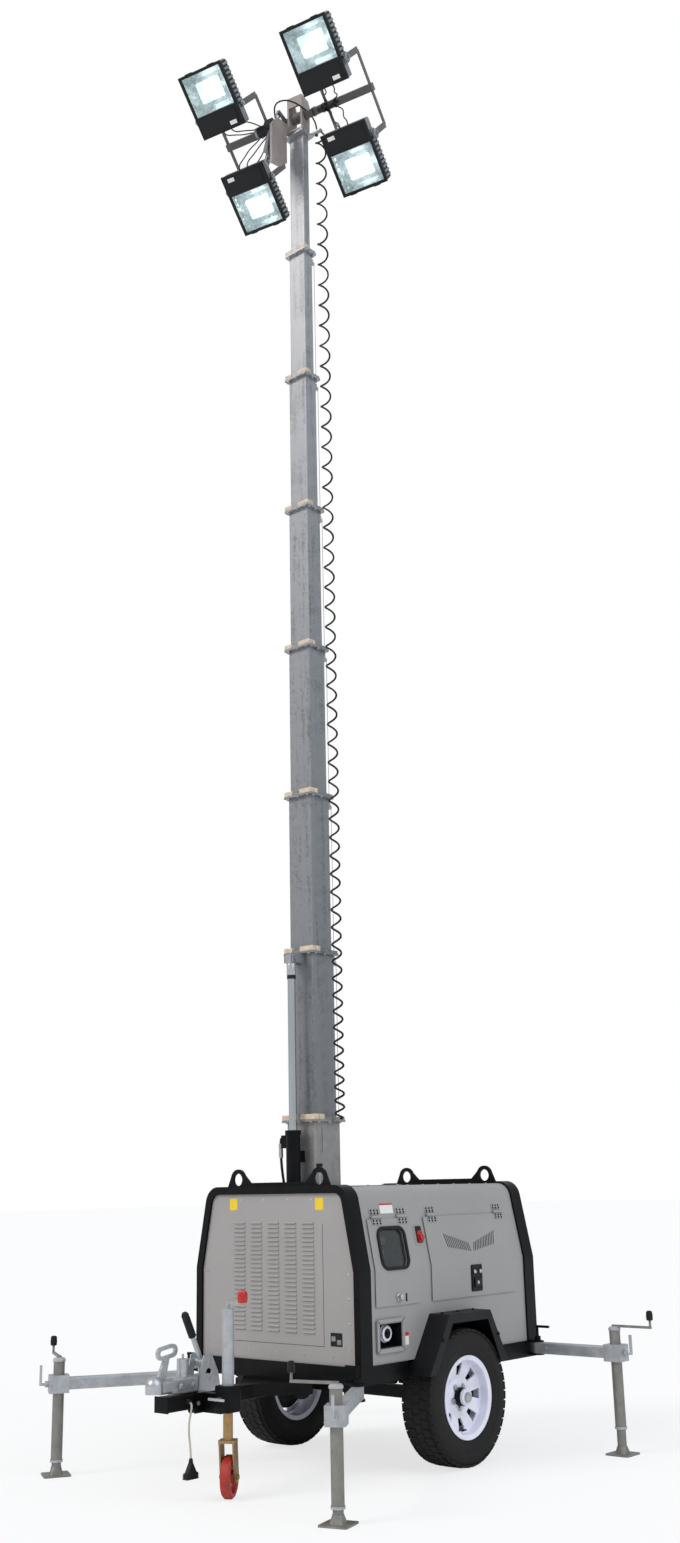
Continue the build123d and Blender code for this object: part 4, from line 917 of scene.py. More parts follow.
LAMP_U, LAMP_V, LAMP_W = 405.0, 342.0, 270.0
LAMP_WIDTH, LAMP_HEIGHT, LAMP_DEPTH = 335.0, 415.0, 130.0
LAMP_RIM = 14.0
GLASS_HEIGHT = 258.0


def lamp_place(half_u, half_v):
    """Place of a lamp's front face; its Y points to the outer end of the lamp."""
    return basis(in_lamp(half_u * LAMP_U, half_v * LAMP_V, LAMP_W + LAMP_DEPTH / 2), half_v * HEAD_X,
                 half_v * LAMP_UP)


class TOWER_OT_floodlights(bpy.types.Operator):
    """Front frames, gear trays, reflectors, tubes, side fins and pivot bolts of the floodlights"""

    bl_idname = "tower.floodlights"
    bl_label = "Floodlights"

    def execute(self, context):
        places = [lamp_place(u, v) for u in (-1, 1) for v in (-1, 1)]
        w, h = LAMP_WIDTH / 2, LAMP_HEIGHT / 2
        centre = h - LAMP_RIM - GLASS_HEIGHT / 2
        tray = h - LAMP_RIM - GLASS_HEIGHT
        bars = [block(mm(*low), mm(*high), soft) for low, high, soft in (
            ((-w - 3, -h - 3, -16), (-w + 16, h + 3, 3), 0.0025),
            ((w - 16, -h - 3, -16), (w + 3, h + 3, 3), 0.0025),
            ((-w + 10, h - 16, -16), (w - 10, h + 3, 3), 0.0025),
            ((-w + 10, -h - 3, -4), (w - 10, tray - 1, 3), 0.0025),
            ((-w + 26, -h + 14, 2), (w - 26, tray - 20, 9), 0.004))]
        for x in (-w + 8, w - 8):
            for y in (-h + 20, h - 20, tray):
                bars.append(put(bolt_head(0.009, False), at(x, y, 2)))
        for x in (-90, 90):
            bars.append(block(mm(x - 22, h - 2, -34), mm(x + 22, h + 7, 5), 0.002))
        dress(copies("bezels", joined("bezel", bars), places),
              "lamp_bezels", "bezel", "lamp_head")
        only()
        bpy.ops.mesh.primitive_plane_add(size=1, location=(0, 0, 0))
        dish = bpy.context.object
        dish.scale = mm(LAMP_WIDTH - 2 * LAMP_RIM - 2, GLASS_HEIGHT - 2, 1000)
        dish.location = mm(0, centre, -12)
        settle(dish)
        bpy.ops.object.mode_set(mode="EDIT")
        bpy.ops.mesh.select_mode(type="FACE")
        bpy.ops.mesh.select_all(action="SELECT")
        for inset, sink in ((3, 1), (30, 34), (24, 12)):
            bpy.ops.mesh.inset(thickness=inset / 1000)
            bpy.ops.transform.translate(value=mm(0, 0, -sink))
        bpy.ops.object.mode_set(mode="OBJECT")
        dress(copies("reflectors", dish, places), "lamp_reflectors", "reflector_wall", "lamp_head")
        back = put(slab(0.186, 0.138, 0.002, 0.012), at(0, centre, -58.8))
        # Painted highlights: seven small plates in the bright back finish, laid along one side wall of the
        # reflector.
        facets = [put(slab(0.034, 0.020, 0.002, 0.003), at(
            w - LAMP_RIM - 19, h - LAMP_RIM - 26 - i * 34, -34 - 3 * (i % 2))
            @ Matrix.Rotation(radians(-40 - 6 * i), 4, "Y")) for i in range(7)]
        dress(copies("backs", joined("back", [back, *facets]), places), "lamp_reflector_backs_and_glints",
              "reflector", "lamp_head")
        arc = turned([(0.011, -0.06), (0.016, -0.045), (0.018, 0.0), (0.016, 0.045), (0.011, 0.06)], 20)
        put(arc, upright(mm(0, centre, -34)))
        dress(copies("tubes", arc, places), "lamp_tubes", "burning", "lamp_head")
        fins = []
        for side in (-1, 1):
            for i in range(9):
                y = h - 30 - i * 30
                fins.append(block(mm(side * (w + 5) - 5, y - 8, -LAMP_DEPTH + 34),
                                  mm(side * (w + 5) + 5, y + 8, -18), 0.0015, 1))
        dress(copies("fins", joined("fin", fins), places), "lamp_fins", "lamp", "lamp_head")
        # Painted shade: black strips on the housing's sides behind the fins, dark in the gaps between them.
        fin_shade_strips = [block(mm(side * w - 2, -h + 120, -LAMP_DEPTH + 30), mm(side * w + 2, h - 8, -16), 0.001, 1)
                  for side in (-1, 1)]
        dress(copies("fin_shade_strips", joined("strip", fin_shade_strips), places), "lamp_fin_shade", "bezel", "lamp_head")
        gear = block(mm(-34, -h + 40, -LAMP_DEPTH - 22), mm(34, -h + 120, -LAMP_DEPTH - 10), 0.003)
        dress(copies("gear", gear, places), "lamp_gear", "lamp", "lamp_head")
        plates = copies("plates", slab(0.052, 0.026, 0.0008, 0.002),
                        [place @ at(96, -h + 34, 9) for place in places])
        dress(plates, "lamp_plates", "white", "lamp_head")
        pivots, bolts = [], []
        for half in (-1, 1):
            for side in (-1, 1):
                u = half * LAMP_U + side * (LAMP_WIDTH / 2 + (12 if half * side < 0 else 6))
                for end in (-1, 1):
                    place = basis(in_lamp(u, end * 250, LAMP_W), LAMP_UP * side, LAMP_OUT)
                    (bolts if half * side < 0 else pivots).append(place)
        knuckles = copies("knuckles", joined("knuckle", [
            block(mm(-38, -30, -4), mm(38, 30, 3), 0.003),
            turned([(0.033, 0.0), (0.034, 0.004), (0.032, 0.018), (0.026, 0.023)], 24),
            put(bolt_head(0.024, False), at(0, 0, 21))]), pivots)
        dress(knuckles, "lamp_pivots", "lamp", "lamp_head")
        dress(copies("bolts", bolt_head(0.024), bolts), "lamp_bolts", "bright", "lamp_head")
        return {"FINISHED"}


class TOWER_OT_head_wiring(bpy.types.Operator):
    """Wires clipped along the bar and over the tilt motor, with their glands and ties"""

    bl_idname = "tower.head_wiring"
    bl_label = "Head wiring"

    def execute(self, context):
        wires = []
        for half_u in (-1, 1):
            for half_v in (-1, 1):
                back = LAMP_W - LAMP_DEPTH / 2
                wires.append(tube([in_lamp(half_u * u, half_v * v, w) for u, v, w in (
                    (LAMP_U - 60, 150, back - 8), (LAMP_U - 110, 120, back - 60), (LAMP_U - 150, 40, 50),
                    (LAMP_U - 190, 10, 29), (180, 8, 29), (165, 8, 27))], WIRE, "wire"))
                for bow, shift in ((34, 30), (52, -34)):
                    root = half_u * (LAMP_U + shift)
                    wires.append(tube([in_lamp(root, half_v * 134, LAMP_W + 20),
                                       in_lamp(root + bow * 0.4, half_v * 104, LAMP_W + 24 + bow * 0.3),
                                       in_lamp(root - half_u * bow, half_v * 84, LAMP_W - 40),
                                       in_lamp(root - half_u * 1.6 * bow, half_v * 50, 120),
                                       in_lamp(root - half_u * 110, half_v * 30, 40),
                                       in_lamp(root - half_u * 150, half_v * 4, 29)], WIRE, "wire"))
            bundle = [in_lamp(half_u * u, v, w) for u, v, w in (
                (330, 0, 31), (300, 22, 40), (262, -24, 38), (236, 18, 46), (204, -20, 40), (170, 0, 32))]
            wires.append(tube(bundle, 0.009, "wire"))
        dress(joined("wires", wires), "bar_wires", "cord", "lamp_head")
        ties = []
        for u in (-300, -205, -130, 130, 205, 300):
            ties.append(slab(0.060, 0.066, 0.007, 0.012, 0.003))
            put(ties[-1], basis(in_lamp(u - 3, 0, 4), LAMP_UP, LAMP_OUT))
        dress(joined("ties", ties), "bar_ties", "cord", "lamp_head")
        motor = [block(mm(-35, -87, 268), mm(35, 35, 351), 0.008, 3)]
        motor += [put(turned([(0.036, 0.0), (0.037, 0.004), (0.037, 0.060), (0.034, 0.066)], 28),
                      at(-33, -40, 309) @ Matrix.Rotation(-pi / 2, 4, "Y"))]
        motor_place = actuator_place()
        dress(put(joined("motor", motor), motor_place), "tilt_motor", "bezel", "mast_7")
        cap = put(turned([(0.0355, 0.0), (0.036, 0.003), (0.036, 0.016), (0.030, 0.020)], 28),
                  motor_place @ at(-98, -40, 309) @ Matrix.Rotation(-pi / 2, 4, "Y"))
        dress(cap, "tilt_motor_cap", "lamp", "mast_7")
        loop = tube([in_head(*point) for point in (
            (125, 30, -20), (128, 40, 60), (90, -20, 150), (0, -120, 215), (-90, -170, 190),
            (-118, -130, 120), (-112, -105, 70))], 0.0055, "loop")
        collar = put(turned([(0.011, 0.0), (0.011, 0.012), (0.008, 0.02), (0.0055, 0.03)], 16),
                     Matrix.Translation(in_head(125, 30, -34)))
        dress(joined("loop", [loop, collar]), "motor_wire", "cord", "mast_7")
        return {"FINISHED"}


# Canopy


class TOWER_OT_front_fittings(bpy.types.Operator):
    """Screws, service seam and blank labels of the front panel"""

    bl_idname = "tower.front_fittings"
    bl_label = "Front fittings"

    def execute(self, context):
        places = [on_front(x, z) for x in (-520, 515) for z in (640, 760, 880, 1000)]
        places += [on_front(x, 600) for x in (-400, -200, 0, 200, 400)]
        places += [on_front(x, 1372) for x in (-260, -90, 90, 260)]
        dress(copies("screws", turned([(0.0065, -0.001), (0.0062, 0.0018), (0.0035, 0.003)], 12), places),
              "front_screws", "bright")
        seam = [block(mm(339, FRONT_Y + 13.4, 644), mm(341, FRONT_Y + 14.4, 1250), 0),
                block(mm(-330, FRONT_Y + 13.4, 643), mm(341, FRONT_Y + 14.4, 645), 0)]
        dress(joined("seam", seam), "front_seam", "frame")
        labels = copies("labels", slab(0.058, 0.062, 0.0006, 0.006),
                        [on_front(x, 1350) for x in (-320, 320)])
        dress(labels, "front_labels", "yellow")
        dress(put(slab(0.080, 0.066, 0.0008, 0.004), on_front(425, 681)),
              "front_plate", "bezel")
        cards = copies("cards", slab(0.028, 0.024, 0.0008, 0.002), [
            on_front(425, 681) @ at(x, y, 0.8) for x, y in ((-20, 4), (18, -12))])
        dress(cards, "front_cards", "lamp")
        return {"FINISHED"}


SOCKET_BOX = (AXLE_Y - 595.5, AXLE_Y - 417.5, 632.5, 749.5)
VENT_ROWS = 13
HINGES = {"control_door": (1, (-540.0, -322.0)), "engine_door_left": (1, (-63.0, 570.0)),
          "engine_door_right": (-1, (-63.0, 570.0))}


class TOWER_OT_side_fittings(bpy.types.Operator):
    """Hinge leaves, latches, window gasket, stop button, inlet and labels of the canopy sides"""

    bl_idname = "tower.side_fittings"
    bl_label = "Side fittings"

    def execute(self, context):
        for door, (side, stations) in HINGES.items():
            for part, body, z, proud in (("top", "trailer", 1302, 0.2), ("low", door, 1250, DOOR_FACE)):
                leaf = slab(0.080, 0.030, 0.003, 0.003)
                dress(copies("leaves", leaf, [on_side(y, z, proud, side) for y in stations]),
                      door + "_hinge_" + part, "panel", body)
                screw = turned([(0.0055, 0.0), (0.0052, 0.0048), (0.003, 0.006)], 10)
                screws = copies("screws", screw, [
                    on_side(y, z, proud, side) @ at(x, v, 1)
                    for y in stations for x in (-27, 0, 27) for v in (-7, 7)])
                dress(screws, door + "_hinge_screws_" + part, "frame", body)
            knuckle = rod(mm(0, -40, 0), mm(0, 40, 0), 0.0088, 16, 0.001)
            rolls = copies("rolls", knuckle, [
                at(side * side_x(1266, 8), AXLE_Y + y, 1276) for y in stations])
            dress(rolls, door + "_hinge_roll", "panel")
        for door, side in (("engine_door_left", 1), ("engine_door_right", -1)):
            plate = slab(0.104, 0.142, 0.004, 0.008)
            ring = put(slab(0.092, 0.130, 0.003, 0.006, 0.008), at(0, 0, 4))
            well = put(slab(0.060, 0.050, 0.010, 0.006), at(0, -24, 4))
            lever = put(slab(0.048, 0.020, 0.008, 0.006), at(0, 30, 4))
            dress(put(joined("latch", [plate, ring, well, lever]), on_side(267, 928, DOOR_FACE, side)),
                  door + "_latch", "bezel", door)
            key = turned([(0.011, 0.0), (0.011, 0.006), (0.008, 0.009), (0.003, 0.009)], 20)
            keys = copies("keys", key, [on_side(267 + dy, 928 + dz, DOOR_FACE + 7, side)
                                        for dy, dz in ((-26, 34), (26, 34), (0, -24))])
            dress(keys, door + "_latch_keys", "bright", door)
            slots = []
            for wing in (-1, 1):
                for row in range(VENT_ROWS):
                    lift, length = -26 + row * 3.6, 52 + row * 2.2
                    # Painted shade: a black slab behind each vent slot stands in for the shade inside the
                    # opening.
                    dark = slab(0.0066, (length - 1) / 1000, 0.001, 0.0032)
                    slots.append(put(dark, on_side(255, 1118, DOOR_FACE - 2.2, side)
                                     @ at(wing * (22 + row * 17) * side, lift, 0)
                                     @ Matrix.Rotation(radians(-wing * 16 * side), 4, "Z")))
            dress(joined("vents", slots), door + "_vent_slot_shade", "bezel", door)
        dress(put(slab(0.240, 0.224, 0.010, 0.055, 0.017, 8), on_side(-441, 1117, DOOR_FACE - 2)),
              "window_gasket", "moulded", "control_door")
        knob = turned([(0.019, 0.0), (0.019, 0.005), (0.013, 0.008), (0.013, 0.014), (0.0175, 0.020),
                       (0.016, 0.029), (0.008, 0.034)], 24)
        put(knob, on_side(-431, 873, DOOR_FACE))
        dress(knob, "control_door_knob", "bright", "control_door")
        for size, place, name, finish, body in (
                ((0.012, 0.042, 0.002, 0.005), (-366, 868, DOOR_FACE), "control_door_slot", "bezel",
                 "control_door"),
                ((0.084, 0.106, 0.002, 0.006), (STOP_Y, 1172, 0), "stop_plate", "panel", "trailer"),
                ((0.048, 0.088, 0.005, 0.006), (STOP_Y, 1176, 2), "stop_housing", "bezel", "trailer")):
            dress(put(slab(*size), on_side(*place)), name, finish, body)
        button = joined("button", [slab(0.042, 0.060, 0.008, 0.008), put(
            turned([(0.013, 0.0), (0.013, 0.006), (0.017, 0.008), (0.017, 0.013), (0.012, 0.016)], 28),
            at(0, -8, 7))])
        put(button, on_side(STOP_Y, 1166, 6))
        dress(button, "stop_button", "knob")
        for size, place, name, finish in (
                ((0.108, 0.052, 0.0008, 0.003), (-431, 1318, 0), "roof_tag", "white"),
                ((0.108, 0.009, 0.0010, 0.002), (-431, 1339, 0.2), "roof_strip", "red"),
                ((0.048, 0.062, 0.0008, 0.003), (-372, 664, 0), "socket_tag", "white"),
                ((0.048, 0.018, 0.0010, 0.003), (-372, 686, 0.2), "socket_band", "red")):
            dress(put(slab(*size), on_side(*place)), name, finish)
        y0, y1, z0, z1 = SOCKET_BOX
        walls = [block(mm(496, *low), mm(*high), 0) for low, high in (
            ((y0, z0), (500, y1, z1)), ((y0, z0), (599, y0 + 3, z1)), ((y1 - 3, z0), (599, y1, z1)),
            ((y0, z0), (599, y1, z0 + 3)), ((y0, z1 - 3), (599, y1, z1)))]
        walls.append(rod(mm(498, SOCKET_Y, SOCKET_Z), mm(560, SOCKET_Y, SOCKET_Z), 0.036, 32, 0.001))
        lips = [put(slab(0.222, 0.161, 0.008, 0.010, 0.022), on_side(-506.5, 691, 3)),
                put(slab(0.225, 0.164, 0.004, 0.010, 0.018), on_side(-506.5, 691, 11))]
        dress(joined("lips", lips), "socket_rim", "panel")
        inlet = dress(joined("inlet", walls), "socket_inlet", "moulded")
        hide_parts("power_inlet")
        flange = turned([(0.044, 0.0), (0.044, 0.005), (0.038, 0.007), (0.038, 0.020), (0.034, 0.022)], 28)
        put(flange, upright(mm(SKIN_X - 40, SOCKET_Y, SOCKET_Z)))
        dress(flange, "socket_flange", "enamel")
        bore = turned([(0.0255, 0.0), (0.0255, 0.0012), (0.010, 0.0013), (0.010, 0.007), (0.004, 0.007)], 24)
        put(bore, upright(mm(SKIN_X - 18.4, SOCKET_Y, SOCKET_Z)))
        dress(bore, "socket_bore", "frame")
        gauges = [put(slab(0.052, 0.040, 0.004, 0.003), at(x, 0, 0)) for x in (0, 70)]
        gauges += [put(slab(0.014, 0.046, 0.012, 0.002), at(-90 + 22 * i, -74, 0))
                   for i in range(8)]
        gauges = put(joined("gauges", gauges), upright(mm(438, AXLE_Y - 441, 1150)))
        dress(gauges, "panel_gauges", "white")
        lights = [put(turned([(0.008, 0.0), (0.008, 0.006), (0.004, 0.010)], 16),
                      upright(mm(430, AXLE_Y - 441 + 30 * i, 1196)))
                  for i in (-2, -1, 2)]
        dress(joined("lights", lights), "panel_lights", "knob")
        return {"FINISHED"}


class TOWER_OT_roof_fittings(bpy.types.Operator):
    """Screws, filler cap, mast trim, knob, hose and sleeves on the roof and at the lift cylinder"""

    bl_idname = "tower.roof_fittings"
    bl_label = "Roof fittings"

    def execute(self, context):
        top = ROOF_TOP
        heads = []
        for y in (FRONT_Y + 110, REAR_Y - 110):
            heads += [at(x, y, top) for x in range(-360, 361, 120)]
        heads += [at(x, MAST_Y + y, top + 5)
                  for x in (-130, 250) for y in (170, 300, 430)]
        dress(copies("screws", turned([(0.007, -0.001), (0.0066, 0.002), (0.004, 0.0035)], 12), heads),
              "roof_screws", "bright")
        cap = turned([(0.045, -0.001), (0.045, 0.014), (0.036, 0.018), (0.036, 0.045), (0.040, 0.048),
                      (0.040, 0.062), (0.030, 0.066)], 32)
        put(cap, at(-250, MAST_Y + 320, top))
        dress(cap, "filler_cap", "moulded")
        foot = [block(mm(x0, MAST_Y + y0, top - 1), mm(x1, MAST_Y + y1, top + 6), 0.001)
                for x0, y0, x1, y1 in ((-134, -134, 134, -112), (-134, 112, 134, 134),
                                       (-134, -112, -112, 112), (112, -112, 134, 112))]
        dress(joined("foot", foot), "mast_foot_trim", "frame")
        stem = put(turned([(0.014, 0.0), (0.014, 0.012), (0.006, 0.016), (0.006, 0.080)], 20),
                   at(150, MAST_Y - 124, top))
        dress(stem, "roof_stem", "bright")
        clamp = put(turned([(0.009, 0.078), (0.010, 0.090), (0.019, 0.120), (0.018, 0.126)], 24),
                    at(150, MAST_Y - 124, top))
        dress(clamp, "roof_knob", "moulded")
        hose = tube([mm(-74, LIFT_Y, 1700), mm(-88, LIFT_Y, 1704), mm(-92, MAST_Y - 176, 1660),
                     mm(-92, MAST_Y - 172, 1560), mm(-90, MAST_Y - 160, 1480),
                     mm(-88, MAST_Y - 150, top - 3)], 0.0075, "hose")
        dress(hose, "lift_hose", "cord")
        dress(rod(mm(5, LIFT_Y, 2607), mm(5, LIFT_Y, 2676), 0.0265, 28, 0.002),
              "lift_sleeve", "bright", "mast_1")
        dress(rod(mm(5, LIFT_Y, 2584), mm(5, LIFT_Y, 2606), 0.0255, 28, 0.002),
              "lift_wiper", "cord", "mast_1")
        union = joined("union", [rod(mm(-46, LIFT_Y, 1700), mm(-72, LIFT_Y, 1700), 0.0105, 6),
                                 rod(mm(-92, MAST_Y - 176, 1672), mm(-92, MAST_Y - 174, 1596), 0.012, 16)])
        dress(union, "lift_union", "bright")
        return {"FINISHED"}


# Running gear


def tyre_mesh():
    """One tyre about Z at the origin: casing with rounded shoulders and blocks of tread."""
    profile = [(191, -80), (212, -88), (236, -97), (272, -102.5), (305, -100), (326, -92), (334, -80),
               (340, -40), (341, 0), (340, 40), (334, 80), (326, 92), (305, 100), (272, 102.5), (236, 97),
               (212, 88), (191, 80)]
    casing = turned([(ring / 1000, z / 1000) for ring, z in profile], 72, "NOTHING", 50)
    count = 44
    pitch = 2 * pi * TYRE_RADIUS / count
    places = []
    for i in range(count):
        for row, (z, share) in enumerate(((-46, 0.0), (0, 0.5), (46, 0.0))):
            places.append(Matrix.Rotation(2 * pi * (i + share) / count, 4, "Z")
                          @ at(TYRE_RADIUS - 5.6 - abs(z) / 40, 0, z)
                          @ Matrix.Rotation(radians(18 if row == 1 else -14 * (1 if z > 0 else -1)), 4, "X"))
    tread = copies("tread", block(mm(-5, -pitch * 0.44, -21), mm(5, pitch * 0.44, 21), 0.0022, 1), places)
    shoulders = []
    for i in range(count):
        for end in (-1, 1):
            shoulders.append(Matrix.Rotation(2 * pi * (i + 0.5) / count, 4, "Z")
                             @ at(TYRE_RADIUS - 17, 0, end * 83)
                             @ Matrix.Rotation(radians(end * 38), 4, "Y"))
    lugs = copies("lugs", block(mm(-6, -pitch * 0.42, -14), mm(6, pitch * 0.42, 14), 0.002, 1), shoulders)
    beads = []
    for z, ring in ((-99.5, 262), (99.5, 262), (-92, 228), (92, 228)):
        only()
        bpy.ops.mesh.primitive_torus_add(major_radius=ring / 1000, minor_radius=0.0028,
                                         major_segments=72, minor_segments=6, location=mm(0, 0, z))
        beads.append(smooth(settle(bpy.context.object)))
    return joined("tyre", [casing, tread, lugs, *beads])


class TOWER_OT_road_wheels(bpy.types.Operator):
    """Tyres with tread, hub caps, wheel nuts and valves"""

    bl_idname = "tower.road_wheels"
    bl_label = "Road wheels"

    def execute(self, context):
        for hand, side in (("left", 1), ("right", -1)):
            place = at(side * WHEEL_X, AXLE_Y, TYRE_RADIUS) @ Matrix.Rotation(side * pi / 2, 4, "Y")
            body = "wheel_" + hand
            tyre = put(tyre_mesh(), place)
            dress(tyre, "road_tyre_" + hand, "tyre", body)
            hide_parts("tyre_" + hand)
            for profile, sides, name in (
                    ([(0.150, 0.006), (0.150, 0.012)], 40, "brake_drum_"),
                    ([(0.046, 0.030), (0.046, 0.060), (0.042, 0.066), (0.042, 0.078)], 32, "hub_shell_")):
                dress(put(turned(profile, sides), place), name + hand, "frame", body)
            nuts = copies("nuts", bolt_head(0.021), [
                place @ Matrix.Rotation(2 * pi * i / 5, 4, "Z") @ at(56, 0, 30)
                for i in range(5)])
            dress(nuts, "wheel_nuts_" + hand, "bright", body)
            cap = turned([(0.026, 0.078), (0.026, 0.090), (0.022, 0.097), (0.014, 0.100),
                          (0.006, 0.101)], 32)
            dress(put(cap, place), "hub_cap_" + hand, "bright", body)
            valve = rod(mm(168, 0, 38), mm(160, 0, 66), 0.0045, 10)
            dress(put(valve, place), "tyre_valve_" + hand, "cord", body)
        heads = []
        for side in (-1, 1):
            for y in (-120, 20, 160):
                heads.append(at(side * 640, AXLE_Y + y, 770))
            for y in (-230, 270):
                heads.append(upright(mm(side * 724, AXLE_Y + y, 650 if y < 0 else 640), (0, side, 0)))
        dress(copies("bolts", bolt_head(0.013), heads), "fender_bolts", "frame")
        return {"FINISHED"}


# Outriggers and drawbar


CRANK_TURN = {"left": radians(196), "right": radians(150)}
PIVOTS = {"front": (612.0, -795.0, 450.0), "rear": (640.0, 780.0, 518.6)}
JACKS = {"front": (990.0, -1390.0, 560.0), "rear": (1152.0, 780.0, 634.0)}


class TOWER_OT_outrigger_fittings(bpy.types.Operator):
    """Crank knobs, caps, bolts and grooves of the four outriggers"""

    bl_idname = "tower.outrigger_fittings"
    bl_label = "Outrigger fittings"

    def execute(self, context):
        for end, (px, py, pz) in PIVOTS.items():
            jx, jy, top = JACKS[end]
            for hand, side in (("left", 1), ("right", -1)):
                corner = end + "_" + hand
                reach = Vector((side * (jx - px), jy - py, 0)).normalized()
                turn = CRANK_TURN[hand] if end == "front" else atan2(reach.y, reach.x)
                centre = mm(side * jx, AXLE_Y + jy, 0)
                out = Vector((cos(turn), sin(turn), 0))
                knob = turned([(0.012, 0.0), (0.0175, 0.004), (0.0185, 0.022), (0.0165, 0.046),
                               (0.010, 0.051)], 24)
                put(knob, Matrix.Translation(centre + out * 0.226 + mm(0, 0, top + 60)))
                dress(knob, "crank_knob_" + corner, "moulded", "jack_" + corner)
                cap = put(turned([(0.034, 0.0), (0.034, 0.010), (0.026, 0.018), (0.016, 0.020)], 32),
                          Matrix.Translation(centre + mm(0, 0, top + 2)))
                collar = put(turned([(0.0335, 0.0), (0.0335, 0.012)], 32),
                             Matrix.Translation(centre + mm(0, 0, 66 if end == "front" else 130)))
                dress(joined("cap", [cap, collar]), "jack_cap_" + corner, "arm",
                      "jack_" + corner)
                across = Vector((-reach.y, reach.x, 0))
                start = mm(side * px, AXLE_Y + py, pz)
                length = (Vector((jx, jy, 0)) - Vector((px, py, 0))).length / 1000
                faces = []
                for hand_out in (-1, 1):
                    for along in (0.07, length - 0.05 - 0.075):
                        faces.append(upright(start + along * reach + across * hand_out * 0.030,
                                             reach * -hand_out))
                bolts = copies("bolts", bolt_head(0.015), faces)
                grooves = [
                    put(slab(length - 0.22, 0.004, 0.0012, 0.001),
                        upright(start + (length / 2) * reach + across * s * 0.0298 + mm(0, 0, z), reach * -s))
                    for s in (-1, 1) for z in (-13, 13)]
                dress(joined("arm", [bolts, *grooves]), "arm_trim_" + corner, "arm",
                      "arm_" + corner)
        return {"FINISHED"}


FORK_SWIVEL = radians(30)
WHEEL_TRAIL = 26.0


class TOWER_OT_drawbar_fittings(bpy.types.Operator):
    """Bolts, grips and clamps of the coupling, handbrake and jockey wheel"""

    bl_idname = "tower.drawbar_fittings"
    bl_label = "Drawbar fittings"

    def execute(self, context):
        heads = []
        for side in (-1, 1):
            for y in (-1375, -1455):
                heads.append(upright(mm(side * 41, AXLE_Y + y, 512), (0, side, 0)))
            heads.append(upright(mm(side * 51, BRAKE_Y, 610), (0, side, 0)))
        for y in (-1355, -1245):
            heads.append(upright(mm(50, AXLE_Y + y, 425)))
        dress(copies("bolts", bolt_head(0.019), heads), "coupling_bolts", "bright")
        lever = Vector((0, -0.45, 0.893)).normalized()
        start = mm(0, BRAKE_Y, 610) + lever * 0.132
        grip = [(0.0185, 0.0)]
        for i in range(8):
            grip += [(0.0205, 0.006 + i * 0.013), (0.0188, 0.0125 + i * 0.013)]
        grip += [(0.020, 0.118), (0.012, 0.132)]
        dress(put(turned(grip, 24), basis(start, (1, 0, 0), Vector((1, 0, 0)).cross(lever) * -1)),
              "handbrake_grip", "moulded")
        knob = turned([(0.012, 0.0), (0.023, 0.005), (0.026, 0.020), (0.0255, 0.044), (0.020, 0.058),
                       (0.009, 0.064)], 24)
        put(knob, at(307, JOCKEY_Y, 892))
        dress(knob, "jockey_crank_knob", "knob")
        bands = [put(slab(0.100, 0.100, 0.016, 0.016, 0.019), Matrix.Translation(
            mm(JOCKEY_X, JOCKEY_Y, z))) for z in (398, 490)]
        dress(joined("bands", bands), "jockey_clamp_bands", "frame")
        handle_y = AXLE_Y - 1385
        lever_bar = joined("lever", [
            rod(mm(JOCKEY_X, AXLE_Y - 1352, 455), mm(JOCKEY_X, handle_y, 455), 0.008),
            rod(mm(160, handle_y, 455), mm(262, handle_y, 455), 0.0065)])
        dress(lever_bar, "jockey_clamp_lever", "bright")
        swivel = at(JOCKEY_X, JOCKEY_Y, 98) @ Matrix.Rotation(FORK_SWIVEL, 4, "Z")
        axle_nuts = copies("nuts", bolt_head(0.022), [
            swivel @ upright(mm(s * 38, WHEEL_TRAIL, 0), (0, s, 0)) for s in (-1, 1)])
        dress(axle_nuts, "jockey_axle_nuts", "passivate", "jockey_fork")
        hub = [turned([(0.040, 0.0), (0.040, 0.003), (0.030, 0.007), (0.020, 0.007)], 32) for s in (-1, 1)]
        for s, piece in zip((-1, 1), hub):
            put(piece, swivel @ upright(mm(s * 9.8, WHEEL_TRAIL, 0), (0, s, 0)))
        dress(joined("hub", hub), "jockey_hub", "passivate", "jockey_wheel")
        return {"FINISHED"}


# Stage


FOCAL = 1442.0 / 1543 * 36
EYE = Vector((5.641, -6.2855, 1.454))
YAW, PITCH, ROLL = radians(40.72), radians(15.92), radians(-1.22)


